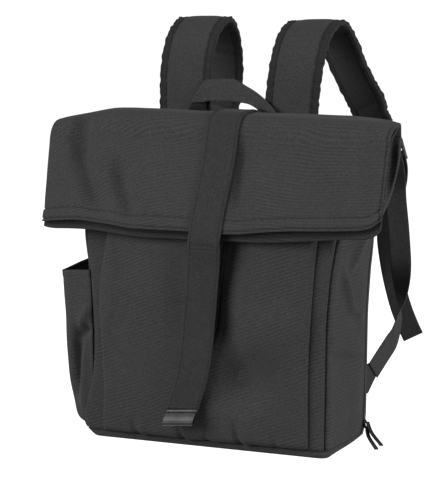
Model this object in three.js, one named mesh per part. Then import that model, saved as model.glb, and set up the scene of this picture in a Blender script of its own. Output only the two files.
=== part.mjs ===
// Roll-top backpack, closed, standing on its base. Millimetres, +Z up, the front faces -Y.
import * as THREE from 'three';

// Cloth and gaps
const cloth = 2;
const padding = 6;
const seamGap = 0.3;
const webThick = 1.6;

// Body
const topSeam = 345;
const wallFoot = 9.8;
const cornerRound = 12;

// Folded top
const flapHalf = 200;
const foldAxis = { y: -36, z: topSeam };
const sideSeamHalf = 2.4;
const leftDroop = 9;
const rightDroop = 8;

// Front pocket
const pocket = { half: 124, low: 12, high: 246, edge: 6, wall: 7.2, dome: 9, valleyAt: 17.5, valleyDeep: 7 };

// Closing strap and its hook
const strapWide = 37;
const strapThick = 2;
const hook = { wide: 36, tall: 14.6, sheet: 1.2, bend: 2.8, reach: 4.2, x: -18.4, y: -93.1, z: 46.6 };
const hookLie = { lean: 0.088, slide: 0.205, backIn: 1.6, backTop: 5.5 };

// Shoulder straps and adjusters
const padHalf = 25;
const padThick = 5;
const bindWide = 6;
const bindThick = 4.2;
const webHalf = 12.5;
const sideZip = { front: 20, back: 13.5 };
const lock = { wide: 32, tall: 28, thick: 4 };

// Outline of the bag by height: front and back seams, walls, and the crease of each side
const bodyRows = [
  { z: 0, seam: 139.5, front: -67.5, back: 67.5, side: 140.5 },
  { z: 20, seam: 139.5, front: -68, back: 68, side: 142 },
  { z: 70, seam: 139.5, front: -68, back: 68, side: 144 },
  { z: 130, seam: 139.5, front: -68, back: 68, side: 145 },
  { z: 190, seam: 143, front: -68, back: 68, side: 148 },
  { z: 226, seam: 147.5, front: -67, back: 67, side: 158 },
  { z: 258, seam: 149.5, front: -56.5, back: 57.5, side: 180 },
  { z: 290, seam: 150, front: -45.5, back: 46.5, side: 191 },
  { z: 322, seam: 150, front: -34, back: 35, side: 198 },
  { z: 350, seam: 150, front: -24, back: 25, side: 200 },
];

// The neck folding forward: turn about the fold axis, slide down the front, and how far
// from the axis the inner layer, the outer layer and the side seams lie
const foldRows = [
  { s: 0, turn: 0, slide: 0, inner: 10, outer: 63, ear: 36 },
  { s: 12, turn: 22, slide: 0, inner: 9.5, outer: 52, ear: 33 },
  { s: 24, turn: 45, slide: 0, inner: 9, outer: 38, ear: 27 },
  { s: 36, turn: 68, slide: 0, inner: 9, outer: 28.8, ear: 22 },
  { s: 48, turn: 92, slide: 0, inner: 9, outer: 26, ear: 19 },
  { s: 60, turn: 116, slide: 0.5, inner: 9, outer: 25, ear: 17.5 },
  { s: 72, turn: 140, slide: 4, inner: 9, outer: 24, ear: 16.5 },
  { s: 84, turn: 159, slide: 14, inner: 9, outer: 23.2, ear: 16 },
  { s: 140, turn: 159, slide: 70, inner: 8.5, outer: 22, ear: 15 },
  { s: 200, turn: 159, slide: 130, inner: 8, outer: 21, ear: 14 },
];

// Dents of the folded top: place across, place along the fold, spread both ways, depth
const flapDents = [
  { across: -165, along: 72, wide: 9, long: 22, deep: 3 },
  { across: -132, along: 150, wide: 26, long: 30, deep: 3 },
  { across: -75, along: 120, wide: 22, long: 40, deep: 2 },
  { across: 52, along: 120, wide: 9, long: 60, deep: 3 },
  { across: 120, along: 135, wide: 40, long: 30, deep: 2 },
];

// Dents of the right side wall: place along the depth, height, spread both ways, depth
const sideDents = [
  { across: 8, along: 150, wide: 22, long: 34, deep: 3 },
  { across: -18, along: 96, wide: 34, long: 9, deep: 2.5 },
  { across: 20, along: 215, wide: 30, long: 14, deep: 3 },
];

// Bottle pocket: how far it stands off the side by height, and its rim along the depth
const bottleRows = [
  { v: 0, out: 0.5, rise: 0 },
  { v: 0.06, out: 8, rise: 0.004 },
  { v: 0.12, out: 14, rise: 0.03 },
  { v: 0.3, out: 27, rise: 0.22 },
  { v: 0.55, out: 36, rise: 0.5 },
  { v: 0.8, out: 39, rise: 0.8 },
  { v: 1, out: 40, rise: 1 },
];
const bottleRim = [
  { u: 0, y: -62, swell: 0, top: 190 },
  { u: 0.2, y: -56, swell: 0.75, top: 187 },
  { u: 0.35, y: -44, swell: 1, top: 186 },
  { u: 0.65, y: 0, swell: 0.66, top: 195 },
  { u: 1, y: 58, swell: 0, top: 202 },
];

// Where the closing strap hangs free below the folded top
const strapRows = [
  { x: 8.6, y: -101.4, z: 233 },
  { x: 7.4, y: -98, z: 222 },
  { x: 5.4, y: -94, z: 203 },
  { x: 2, y: -91.5, z: 170 },
  { x: -1.2, y: -91, z: 135 },
  { x: -4.8, y: -91, z: 102 },
  { x: -10.4, y: -91, z: 74 },
  { x: -16, y: -91, z: 57 },
  { x: -19.9, y: -91, z: 44.5 },
];

// Handle: the inner and the outer edge of the bent webbing, seen from the front
const handleRows = [
  { inX: -38, inZ: 347, outX: -61, outZ: 347, y: 31.5 },
  { inX: -37.5, inZ: 366, outX: -60.5, outZ: 366, y: 31.5 },
  { inX: -36.5, inZ: 375, outX: -58, outZ: 378, y: 31 },
  { inX: -33, inZ: 376.5, outX: -44, outZ: 401, y: 30 },
  { inX: -12, inZ: 377, outX: -14, outZ: 402.5, y: 28.5 },
  { inX: 8, inZ: 375.5, outX: 8, outZ: 393, y: 28.5 },
  { inX: 20, inZ: 370, outX: 32, outZ: 378, y: 30 },
  { inX: 27, inZ: 361, outX: 47, outZ: 364, y: 31.5 },
  { inX: 29, inZ: 347, outX: 52, outZ: 347, y: 31.5 },
];

// Rising half of each shoulder strap: depth and height, and its fullness from the seam up
const riseRows = [
  { y: 38.2, z: 320, full: 0.35 },
  { y: 34.7, z: 332, full: 0.45 },
  { y: 35.5, z: 346, full: 0.5 },
  { y: 37.7, z: 362, full: 0.9 },
  { y: 38, z: 384, full: 1 },
  { y: 38, z: 407, full: 1 },
  { y: 41, z: 431, full: 1 },
  { y: 53, z: 452, full: 1 },
  { y: 71, z: 465, full: 1 },
];

// What differs between the sides, both given as on the right: the strap's place as it rises,
// its falling half with the turn of its width, the buckle, and the webbing below it
const sides = {
  right: {
    riseX: [57, 57, 57.5, 58, 59, 61.5, 65.5, 69.5, 72.5],
    fall: [
      { x: 75, y: 92, z: 471, yaw: -0.12, full: 1 },
      { x: 78, y: 116, z: 463.5, yaw: -0.32, full: 1 },
      { x: 84, y: 133, z: 446, yaw: -0.5, full: 1 },
      { x: 91.5, y: 144.8, z: 422, yaw: -0.56, full: 1 },
      { x: 103, y: 151.6, z: 396.5, yaw: -0.56, full: 1 },
      { x: 112, y: 153.8, z: 380, yaw: -0.55, full: 0.9, half: 24.5 },
      { x: 121, y: 155, z: 361, yaw: -0.5, full: 0.65, half: 20 },
      { x: 132, y: 155.5, z: 347, yaw: -0.4, full: 0.45, half: 15 },
    ],
    buckle: { x: 146, y: 153.5, z: 322, yaw: -0.33, tilt: 0.3 },
    web: [
      { x: 152, y: 147, z: 270, wx: 0.98, wy: -0.2, wz: 0 },
      { x: 157.5, y: 141.5, z: 234, wx: 1, wy: -0.05, wz: 0.08 },
      { x: 161.5, y: 137, z: 204, wx: 0.98, wy: -0.14, wz: 0.12 },
      { x: 165, y: 131.5, z: 176, wx: 0.87, wy: -0.47, wz: 0.1 },
      { x: 167, y: 126, z: 152, wx: 0.68, wy: -0.73, wz: 0.05 },
      { x: 166.5, y: 120.5, z: 130, wx: 0.05, wy: -0.95, wz: 0.3 },
    ],
    tail: [
      { x: 146, y: 158.5, z: 268, wx: 0.96, wy: -0.28, wz: 0 },
      { x: 140.5, y: 155, z: 225, wx: 0.97, wy: -0.24, wz: 0 },
      { x: 145, y: 152.5, z: 193, wx: 0.96, wy: -0.26, wz: 0.1 },
      { x: 152, y: 150.5, z: 164, wx: 0.96, wy: -0.2, wz: 0.1 },
      { x: 161, y: 149, z: 137, wx: 0.97, wy: -0.1, wz: 0 },
      { x: 170, y: 147.5, z: 117, wx: 0.97, wy: 0, wz: -0.15 },
      { x: 175, y: 147, z: 106, wx: 0.97, wy: 0, wz: -0.22 },
    ],
  },
  left: {
    riseX: [71.5, 71.5, 71.8, 72, 72, 71.8, 70.5, 69.5, 69],
    fall: [
      { x: 69.5, y: 92, z: 472, yaw: -0.03, full: 1 },
      { x: 71, y: 116, z: 465.5, yaw: -0.03, full: 1 },
      { x: 73, y: 137, z: 446, yaw: -0.03, full: 1 },
      { x: 75.5, y: 149, z: 420, yaw: -0.04, full: 1 },
      { x: 79, y: 155, z: 394, yaw: -0.05, full: 1 },
      { x: 82.5, y: 157, z: 377, yaw: -0.06, full: 0.9, half: 24.5 },
      { x: 88, y: 158, z: 360, yaw: -0.06, full: 0.65, half: 20 },
      { x: 94, y: 158.3, z: 347, yaw: -0.06, full: 0.45, half: 15 },
    ],
    buckle: { x: 101, y: 157.5, z: 322, yaw: -0.06, tilt: 0.22 },
    web: [
      { x: 105, y: 150.5, z: 274, wx: 0.97, wy: -0.1, wz: 0.2 },
      { x: 110, y: 146, z: 240, wx: 0.95, wy: -0.15, wz: 0.27 },
      { x: 119, y: 140, z: 208, wx: 0.9, wy: -0.25, wz: 0.35 },
      { x: 131, y: 133, z: 180, wx: 0.75, wy: -0.5, wz: 0.45 },
      { x: 146, y: 127, z: 152, wx: 0.5, wy: -0.7, wz: 0.5 },
      { x: 157.5, y: 120, z: 130, wx: 0.2, wy: -0.8, wz: 0.55 },
    ],
    tail: [
      { x: 103, y: 163, z: 270, wx: 1, wy: -0.05, wz: 0 },
      { x: 101, y: 164, z: 230, wx: 1, wy: -0.03, wz: 0 },
      { x: 100, y: 164, z: 190, wx: 1, wy: 0, wz: 0 },
      { x: 100, y: 163, z: 155, wx: 1, wy: 0, wz: 0 },
      { x: 102, y: 162, z: 126, wx: 1, wy: 0, wz: 0 },
      { x: 103, y: 161, z: 112, wx: 1, wy: 0, wz: 0 },
    ],
  },
};

// Anchor tab: a triangle sewn into the back seam, given by reach from the seam and height
const tab = { x: 144, y: 69.5, thick: 1.6, dx: 0.357, dy: 0.934 };
const tabEdges = [
  { reach: 0, low: 47, high: 81 },
  { reach: 3, low: 50.7, high: 82 },
  { reach: 18, low: 68.6, high: 69.6 },
];

// Ribbon pulls of the side zip: from the slider down to the ground, and the slider's height
const pullRows = {
  upper: [
    { x: 145.9, y: 50.5, z: 17.6 },
    { x: 150.5, y: 43, z: 8 },
    { x: 160, y: 29.5, z: 2.4 },
    { x: 178, y: 11, z: 1.9 },
  ],
  lower: [
    { x: 145.9, y: 50.5, z: 12.2 },
    { x: 147.5, y: 37, z: 3.4 },
    { x: 152, y: 18, z: 1.7 },
    { x: 177, y: -6, z: 1.5 },
  ],
};
const sliderHeight = { upper: 17.7, lower: 12.4 };
const slider = { out: 2.6, wide: 7, tall: 5 };
const pullHalf = 2.2;

// Small helpers
const clamp = (t) => Math.min(1, Math.max(0, t));
const mix = (a, b, t) => a + (b - a) * t;
const ease = (a, b, x) => {
  const t = clamp((x - a) / (b - a));
  return t * t * (3 - 2 * t);
};
const vec = (x, y, z) => new THREE.Vector3(x, y, z);
const steps = (a, b, n) => Array.from({ length: n + 1 }, (_, i) => mix(a, b, i / n));

// Smooth value of one column of a table, never overshooting its rows
function column(rows, key, name, at) {
  const last = rows.length - 1;
  let i = 0;
  while (i < last - 1 && at > rows[i + 1][key]) i += 1;
  const slope = (k) => (rows[k + 1][name] - rows[k][name]) / (rows[k + 1][key] - rows[k][key]);
  const lean = (k) => {
    if (k === 0) return slope(0);
    if (k === last) return slope(last - 1);
    const a = slope(k - 1);
    const b = slope(k);
    return a * b <= 0 ? 0 : (2 * a * b) / (a + b);
  };
  const h = rows[i + 1][key] - rows[i][key];
  const t = (at - rows[i][key]) / h;
  const p = rows[i][name];
  const q = rows[i + 1][name];
  if (t < 0) return p + lean(0) * h * t;
  if (t > 1) return q + lean(last) * h * (t - 1);
  const rest = 1 - t;
  const start = (1 + 2 * t) * rest * rest * p + t * rest * rest * h * lean(i);
  const end = t * t * (3 - 2 * t) * q - t * t * rest * h * lean(i + 1);
  return start + end;
}

// Closed solid between two grids of points: the outer face and the inner face
function gridSolid(outer, inner) {
  const nu = outer.length;
  const nv = outer[0].length;
  const points = [];
  const faces = [];
  for (const p of [outer, inner].flat(2)) points.push(p.x, p.y, p.z);
  const at = (side, i, j) => side * nu * nv + i * nv + j;
  const quad = (a, b, c, d) => faces.push(a, b, c, a, c, d);
  for (let i = 0; i < nu - 1; i += 1) {
    for (let j = 0; j < nv - 1; j += 1) {
      quad(at(0, i, j), at(0, i + 1, j), at(0, i + 1, j + 1), at(0, i, j + 1));
      quad(at(1, i, j), at(1, i, j + 1), at(1, i + 1, j + 1), at(1, i + 1, j));
    }
    quad(at(1, i, 0), at(1, i + 1, 0), at(0, i + 1, 0), at(0, i, 0));
    quad(at(0, i, nv - 1), at(0, i + 1, nv - 1), at(1, i + 1, nv - 1), at(1, i, nv - 1));
  }
  for (let j = 0; j < nv - 1; j += 1) {
    quad(at(0, 0, j), at(0, 0, j + 1), at(1, 0, j + 1), at(1, 0, j));
    quad(at(1, nu - 1, j), at(1, nu - 1, j + 1), at(0, nu - 1, j + 1), at(0, nu - 1, j));
  }
  return solid(points, faces);
}

function solid(points, faces) {
  const shape = new THREE.BufferGeometry();
  shape.setAttribute('position', new THREE.Float32BufferAttribute(points, 3));
  shape.setIndex(faces);
  shape.computeVertexNormals();
  return shape;
}

// Normal of a surface given as a function of two parameters
function normalOf(point, u, v, hu, hv) {
  const du = point(u + hu, v).sub(point(u - hu, v));
  const dv = point(u, v + hv).sub(point(u, v - hv));
  return du.cross(dv).normalize();
}

// Sheet of cloth: from a surface inwards by its thickness, or between two offsets
function sheet(point, us, vs, { from = 0, to = -cloth, hu = 0.01, hv = 0.5 } = {}) {
  const outer = [];
  const inner = [];
  for (const u of us) {
    const a = [];
    const b = [];
    for (const v of vs) {
      const p = point(u, v);
      const n = normalOf(point, u, v, hu, hv);
      a.push(p.clone().addScaledVector(n, from));
      b.push(p.clone().addScaledVector(n, to));
    }
    outer.push(a);
    inner.push(b);
  }
  return gridSolid(outer, inner);
}

// Strip swept along stations, each with a centre, a width direction and half sizes
const flatSection = [[-1, -1], [1, -1], [1, 1], [-1, 1]];
const softEnd = [[-1, 0.45], [-1, -0.45], [-0.82, -1]];
const softSection = [...softEnd, [0.82, -1], [1, -0.45], [1, 0.45], [0.82, 1], [-0.82, 1]];

function sweep(stations, section) {
  const points = [];
  const faces = [];
  const m = section.length;
  const n = stations.length;
  stations.forEach((st, k) => {
    const ahead = stations[Math.min(n - 1, k + 1)].c;
    const behind = stations[Math.max(0, k - 1)].c;
    const t = ahead.clone().sub(behind).normalize();
    const w = st.w.clone().addScaledVector(t, -st.w.dot(t)).normalize();
    const b = t.clone().cross(w).normalize();
    for (const [p, q] of section) {
      const side = p * st.half + (st.shift || 0);
      const at = st.c.clone().addScaledVector(w, side).addScaledVector(b, q * st.thick);
      points.push(at.x, at.y, at.z);
    }
  });
  for (let k = 0; k < n - 1; k += 1) {
    for (let i = 0; i < m; i += 1) {
      const j = (i + 1) % m;
      const a = k * m + i;
      const b = k * m + j;
      faces.push(a, b, b + m, a, b + m, a + m);
    }
  }
  for (let i = 1; i < m - 1; i += 1) {
    faces.push(0, i + 1, i);
    faces.push((n - 1) * m, (n - 1) * m + i, (n - 1) * m + i + 1);
  }
  return solid(points, faces);
}

// Smooth curve through rows of x, y, z, with any other columns carried along
function along(rows, parts, names) {
  const curve = new THREE.CatmullRomCurve3(rows.map((r) => vec(r.x, r.y, r.z)), false, 'centripetal');
  const keyed = rows.map((r, i) => ({ ...r, i }));
  const span = rows.length - 1;
  return steps(0, span, span * parts).map((i) => {
    const row = { c: curve.getPoint(i / span) };
    for (const name of names) row[name] = column(keyed, 'i', name, i);
    return row;
  });
}

// Outline of the body at one height. q runs from the middle of the front (0) round the
// right side to the middle of the back (7); beyond 7, and below 0, it is mirrored.
function bodyPoint(q, z) {
  if (q < 0) return bodyPoint(-q, z).multiply(vec(-1, 1, 1));
  if (q > 7) return bodyPoint(14 - q, z).multiply(vec(-1, 1, 1));
  const get = (name) => column(bodyRows, 'z', name, z);
  const front = get('front');
  const back = get('back');
  const seam = get('seam');
  const corner = [
    new THREE.Vector2(0, front),
    new THREE.Vector2(seam, front),
    new THREE.Vector2(get('side'), (front + back) / 2),
    new THREE.Vector2(seam, back),
    new THREE.Vector2(0, back),
  ];
  const reach = [0, cornerRound, mix(46, 7, ease(215, 290, z)), cornerRound, 0];
  const into = (k) => corner[k].clone().sub(corner[k - 1]).normalize();
  const entry = (k) => corner[k].clone().addScaledVector(into(k), -reach[k]);
  const exit = (k) => corner[k].clone().addScaledVector(into(k + 1), reach[k]);
  const part = Math.min(6, Math.floor(q));
  const t = q - part;
  const k = Math.floor((part + 1) / 2);
  let p;
  if (part % 2 === 1) {
    const a = entry(k);
    const b = exit(k);
    p = a.lerp(corner[k], t).lerp(corner[k].clone().lerp(b, t), t);
  } else {
    const a = part === 0 ? corner[0] : exit(k);
    const b = part === 6 ? corner[4] : entry(k + 1);
    p = a.clone().lerp(b, t);
  }
  return vec(p.x, p.y, z);
}

// Place on the right side at a distance in front of the back corner
function nearBack(distance, z) {
  const straight = bodyPoint(4, z).distanceTo(bodyPoint(5, z));
  return 5 - (distance - cornerRound) / straight;
}

// Depth of a row of soft dents at one place of a surface
function dentDepth(dents, across, along) {
  let deep = 0;
  for (const d of dents) {
    const a = (across - d.across) / d.wide;
    const b = (along - d.along) / d.long;
    deep += d.deep * Math.exp(-a * a - b * b);
  }
  return deep;
}

// Right side wall up to the zip: its last stretch ends beside the zip at every height
function rightSide(u, z) {
  const q = u <= 4 ? u : mix(4, nearBack(sideZip.front + seamGap, z), u - 4);
  const p = bodyPoint(q, z);
  const deep = dentDepth(sideDents, p.y, z);
  const hold = ease(1.5, 2.4, u) * (1 - ease(3.6, 4, u));
  p.x -= deep * hold;
  return p;
}

// Folded neck: x across, s along the cloth from the top seam over the fold to the mouth
function foldPoint(x, s, outside) {
  const get = (name) => column(foldRows, 's', name, s);
  const turn = THREE.MathUtils.degToRad(get('turn'));
  const flat = ease(0, 60, s);
  const side = Math.abs(x);
  const full = 1 - clamp((side - mix(146, 128, flat)) / (flapHalf - mix(146, 128, flat)));
  const shape = mix(full, Math.sqrt(1 - (1 - full) ** 2), flat);
  const edge = get('ear') + (outside ? sideSeamHalf : -sideSeamHalf);
  let n = mix(edge, get(outside ? 'outer' : 'inner'), shape);
  if (outside) n -= dentDepth(flapDents, x, s);
  const low = ease(90, 180, s);
  const left = leftDroop * ease(-125, -200, x) * (1 - 0.6 * low);
  const droop = (left + rightDroop * clamp((x + 110) / 310) * (1 - low)) * ease(0, 40, s);
  const y = foldAxis.y + n * Math.cos(turn) - get('slide') * Math.sin(turn);
  const z = foldAxis.z + n * Math.sin(turn) + get('slide') * Math.cos(turn) - droop;
  const narrow = x < 0 ? 0.045 * ease(60, 190, s) : 0;
  return vec(x * (1 - narrow), y, z);
}

// Length of each layer down to the mouth: lowest in the middle
const outerEnd = (x) => 188 - 10 * ease(20, 190, Math.abs(x + 5)) - 10 * ease(165, 199, x);
const innerEnd = (x) => 193 - 8 * ease(60, 180, Math.abs(x)) - (x > 0 ? 9 : 3) * ease(165, 199, Math.abs(x));

const outerLayer = (u, v) => foldPoint(-u, v * outerEnd(-u), true);
const innerLayer = (u, v) => foldPoint(u, v * innerEnd(u), false);

// Front pocket: rounded edges, a dome and the valley of its zip
const edgeShare = 0.06;

function rounded(w, length, edge, share) {
  const near = Math.min(w, 1 - w);
  const flat = (w - share) / (1 - 2 * share);
  if (near > share) return { at: edge + flat * (length - 2 * edge), rise: 1 };
  const turn = ((near / share) * Math.PI) / 2;
  const inset = edge * (1 - Math.cos(turn));
  return { at: w < 0.5 ? inset : length - inset, rise: Math.sin(turn) };
}

function pocketPoint(u, v) {
  const across = rounded(u, 2 * pocket.half, pocket.edge, edgeShare);
  const up = rounded(v, pocket.high - pocket.low, pocket.edge, edgeShare);
  const x = across.at - pocket.half;
  const z = pocket.low + up.at;
  const rise = across.rise * up.rise;
  const arch = Math.sin(Math.PI * clamp((z - pocket.low + 8) / (pocket.high - pocket.low + 18))) ** 0.6;
  const dome = pocket.dome * (1 - (x / pocket.half) ** 2) * arch;
  const valley = pocket.valleyDeep * Math.exp(-(((x - pocket.valleyAt) / 17) ** 2)) * ease(100, 190, z);
  const wall = column(bodyRows, 'z', 'front', z);
  const stand = 0.5 + 1.4 * ease(200, 236, z);
  return vec(x, wall - stand - rise * (pocket.wall + dome - valley), z);
}

// Share of the pocket's width at which x lies, outside its rounded edges
function pocketAcross(x) {
  const flat = (x + pocket.half - pocket.edge) / (2 * pocket.half - 2 * pocket.edge);
  return edgeShare + flat * (1 - 2 * edgeShare);
}

function bottlePoint(u, v) {
  const y = column(bottleRim, 'u', 'y', u);
  const swell = column(bottleRim, 'u', 'swell', u);
  const top = column(bottleRim, 'u', 'top', u);
  const z = mix(13, top, column(bottleRows, 'v', 'rise', v));
  const wall = column(bodyRows, 'z', 'side', z) - 3 * (y / 68) ** 2;
  const hug = 0.9 + cloth;
  return vec(-(wall + hug + swell * column(bottleRows, 'v', 'out', v)), y, z);
}

// Body loop at one height, moved in by an inset, for the base and its piping
function loopAt(z, inset, height) {
  const qs = [0, 0.5, 1, 1.3, 1.7, 2, 3, 4, 5, 5.3, 5.7, 6, 6.5];
  const right = qs.map((q) => bodyPoint(q, z));
  const back = bodyPoint(7, z);
  const left = qs.slice(1).reverse().map((q) => bodyPoint(-q, z));
  const ring = [...right, back, ...left];
  const n = ring.length;
  return ring.map((p, i) => {
    const t = ring[(i + 1) % n].clone().sub(ring[(i + n - 1) % n]).normalize();
    return vec(p.x - t.y * inset, p.y + t.x * inset, height);
  });
}

function ringSolid(rings, closed) {
  const points = [];
  const faces = [];
  const n = rings[0].length;
  for (const ring of rings) for (const p of ring) points.push(p.x, p.y, p.z);
  const last = closed ? rings.length : rings.length - 1;
  for (let k = 0; k < last; k += 1) {
    const m = (k + 1) % rings.length;
    for (let i = 0; i < n; i += 1) {
      const j = (i + 1) % n;
      faces.push(k * n + i, k * n + j, m * n + j, k * n + i, m * n + j, m * n + i);
    }
  }
  if (!closed) {
    const low = points.length / 3;
    points.push(0, 0, rings[0][0].z);
    points.push(0, 0, rings[rings.length - 1][0].z);
    const top = (rings.length - 1) * n;
    for (let i = 0; i < n; i += 1) {
      const j = (i + 1) % n;
      faces.push(low, j, i);
      faces.push(low + 1, top + i, top + j);
    }
  }
  return solid(points, faces);
}

// Materials
function paint(color, roughness, metalness = 0) {
  return new THREE.MeshStandardMaterial({ color, roughness, metalness });
}
const looks = {
  cloth: () => paint(0x3c3c3e, 0.85),
  pad: () => paint(0x404042, 0.85),
  webbing: () => paint(0x38383a, 0.8),
  binding: () => paint(0x2c2c2d, 0.8),
  zip: () => paint(0x1c1c1d, 0.6),
  plastic: () => paint(0x1f1f20, 0.35),
  metal: () => paint(0x55575a, 0.4, 0.9),
};

const bag = new THREE.Group();
bag.name = 'roll_top_backpack';
function add(name, shape, look) {
  const mesh = new THREE.Mesh(shape, looks[look]());
  mesh.name = name;
  bag.add(mesh);
}

// Base with its turned-up edge, and the piping above it
add('bottom_panel', ringSolid([
  loopAt(0, 4, 0),
  loopAt(0, 1.2, 1.2),
  loopAt(0, 0, 4),
  loopAt(0, 0, 6),
  loopAt(0, 2, 6),
  loopAt(0, 2, 4.4),
  loopAt(0, 4.4, 2),
], false), 'cloth');
const pipeRound = 1.55;
add('bottom_piping', ringSolid(steps(0, 5, 5).map((k) => {
  const a = (k / 6) * 2 * Math.PI;
  return loopAt(8, 0.4 - pipeRound * Math.cos(a), 8 + pipeRound * Math.sin(a));
}), true), 'binding');

// Walls, between the seams at the middle of each rounded corner
const edge = seamGap / 2 / cornerRound;
const heights = [wallFoot, 30, 80, 130, 180, 210, 226, 242, 258, 276, 300, 322, topSeam - 3 * seamGap];
const frontQ = [-1.5 + edge, -1.2, -1, -0.5, 0, 0.5, 1, 1.2, 1.5 - edge];
const sideQ = [1.5 + edge, 1.8, 2, 2.5, 3, 3.25, 3.5, 3.75, 4];
add('front_panel', sheet(bodyPoint, frontQ, heights), 'cloth');
const leftQ = [...sideQ, 4.5, 5, 5.2, 5.5 - edge].map((q) => -q).reverse();
add('side_panel_left', sheet(bodyPoint, leftQ, heights), 'cloth');
const zipPoint = (u, z) => bodyPoint(nearBack(mix(sideZip.front, sideZip.back, u), z), z);
function stripPoint(u, z) {
  return bodyPoint(u < 5 ? mix(nearBack(sideZip.back - seamGap, z), 5, u - 4) : u, z);
}
add('side_panel_right', sheet(rightSide, [...sideQ, 4.5, 5], heights), 'cloth');
add('laptop_zip', sheet(zipPoint, [0, 1], heights, { from: -0.3, to: -1.5 }), 'zip');
add('zip_strip_right', sheet(stripPoint, [4, 5, 5.2, 5.5 - edge], heights), 'cloth');
const backQ = [5.5 + edge, 5.8, 6, 6.5, 7, 7.5, 8, 8.2, 8.5 - edge];
add('back_panel', sheet(bodyPoint, backQ, heights, { to: -padding }), 'pad');

// Folded top
const across = [199.6, 196, 188, 176, 164, 152, 138, 118, 92, 68, 54, 40, 18];
const acrossAll = [...across.map((x) => -x), 0, ...across.slice().reverse()];
const outerS = [0.0005, 0.05, 0.11, 0.17, 0.23, 0.29, 0.35, 0.41, 0.47, 0.56, 0.66, 0.76, 0.86, 0.94, 1];
add('roll_top_outer', sheet(outerLayer, acrossAll, outerS, { hv: 0.003, hu: 0.2 }), 'cloth');
const acrossFew = [199.6, 196, 188, 172, 152, 128, 90, 45];
const acrossInner = [...acrossFew.map((x) => -x), 0, ...acrossFew.slice().reverse()];
const innerS = [0.0005, 0.08, 0.16, 0.24, 0.31, 0.37, 0.44, 0.6, 0.78, 0.92, 1];
add('roll_top_inner', sheet(innerLayer, acrossInner, innerS, { hv: 0.003, hu: 0.2 }), 'cloth');

// Front pocket and its zip
const frontZipU = [15, 18, 21].map(pocketAcross);
const pocketEdge = [0, 0.02, 0.04, edgeShare];
const pocketLeft = [...pocketEdge, 0.16, 0.28, 0.4, 0.48, 0.53];
const pocketRight = [0.64, 0.7, 0.79, 0.88, ...pocketEdge.map((u) => 1 - u).reverse()];
const pocketU = [...pocketLeft, ...frontZipU, ...pocketRight];
const frontZipV = [0.5, 0.62, 0.74, 0.84, 0.91];
const pocketV = [...pocketEdge, 0.2, 0.35, ...frontZipV, ...pocketEdge.map((v) => 1 - v).reverse()];
const fine = { hu: 0.001, hv: 0.001 };
add('front_pocket', sheet(pocketPoint, pocketU, pocketV, fine), 'cloth');
add('front_zip', sheet(pocketPoint, frontZipU, frontZipV, { from: 1.6, to: 0.4, ...fine }), 'zip');

// Bottle pocket
const bottleU = [0, 0.08, 0.15, 0.22, 0.29, 0.36, 0.46, 0.58, 0.7, 0.82, 0.92, 1];
const bottleV = [0, 0.04, 0.08, 0.14, 0.24, 0.38, 0.55, 0.72, 0.88, 1];
const bottleBack = (u, v) => bottlePoint(1 - u, v);
add('side_pocket_left', sheet(bottleBack, bottleU, bottleV, { hu: 0.004, hv: 0.004 }), 'cloth');

// Closing strap: laid on the fold, then hanging free
function strapLines() {
  const outer = [];
  const inner = [];
  const offsets = [-1, -0.5, 0, 0.5, 1].map((k) => (k * strapWide) / 2);
  const laid = [...outerS.slice(1, -1), 0.985];
  const free = along(strapRows, 2, []);
  for (const off of offsets.slice().reverse()) {
    const a = [];
    const b = [];
    for (const v of laid) {
      const x = 13.5 - 4 * ease(0.5, 1, v) + off;
      const p = outerLayer(-x, v);
      const n = normalOf(outerLayer, -x, v, 0.2, 0.003);
      a.push(p.clone().addScaledVector(n, 0.6 + strapThick));
      b.push(p.clone().addScaledVector(n, 0.6));
    }
    free.forEach((row, k) => {
      const ahead = free[Math.min(free.length - 1, k + 1)].c;
      const behind = free[Math.max(0, k - 1)].c;
      const w = vec(1, 0, 0);
      const n = w.clone().cross(ahead.clone().sub(behind)).normalize();
      const c = row.c.clone().addScaledVector(w, off);
      a.push(c.clone().addScaledVector(n, -strapThick / 2));
      b.push(c.clone().addScaledVector(n, strapThick / 2));
    });
    outer.push(a);
    inner.push(b);
  }
  return gridSolid(outer, inner);
}
add('closure_strap', strapLines(), 'webbing');

// Hook: sheet metal folded into a slim loop, its plate leaning out from the strap to a round foot
function hookShape() {
  const line = [{ n: 0, d: 0 }];
  for (const a of steps(160, 380, 7)) {
    const turn = THREE.MathUtils.degToRad(a);
    line.push({ n: hook.bend * Math.cos(turn) - hook.reach, d: hook.tall - hook.bend * Math.sin(turn) });
  }
  line.push({ n: hookLie.backIn, d: hookLie.backTop });
  function at(share, n, d) {
    const half = (share * hook.wide) / 2;
    return vec(
      hook.x + half * Math.cos(hookLie.lean) - d * Math.sin(hookLie.slide),
      hook.y + n,
      hook.z + half * Math.sin(hookLie.lean) - d * Math.cos(hookLie.slide),
    );
  }
  const face = (off) => [1, 0, -1].map((share) => line.map((r, k) => {
    const ahead = line[Math.min(line.length - 1, k + 1)];
    const behind = line[Math.max(0, k - 1)];
    const run = Math.hypot(ahead.n - behind.n, ahead.d - behind.d);
    return at(share, r.n - (off * (ahead.d - behind.d)) / run, r.d + (off * (ahead.n - behind.n)) / run);
  }));
  return gridSolid(face(hook.sheet / 2), face(-hook.sheet / 2));
}
add('strap_hook', hookShape(), 'metal');

// Handle
function handleShape() {
  const keyed = handleRows.map((r, i) => ({ ...r, i }));
  const get = (name, i) => column(keyed, 'i', name, i);
  const point = (i, share, off) => vec(
    mix(get('inX', i), get('outX', i), share),
    get('y', i) + off,
    mix(get('inZ', i), get('outZ', i), share),
  );
  const stops = steps(0, handleRows.length - 1, (handleRows.length - 1) * 2);
  const face = (off) => [0, 0.5, 1].map((share) => stops.map((i) => point(i, share, off)));
  return gridSolid(face(webThick / 2), face(-webThick / 2));
}
add('top_handle', handleShape(), 'webbing');

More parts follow.
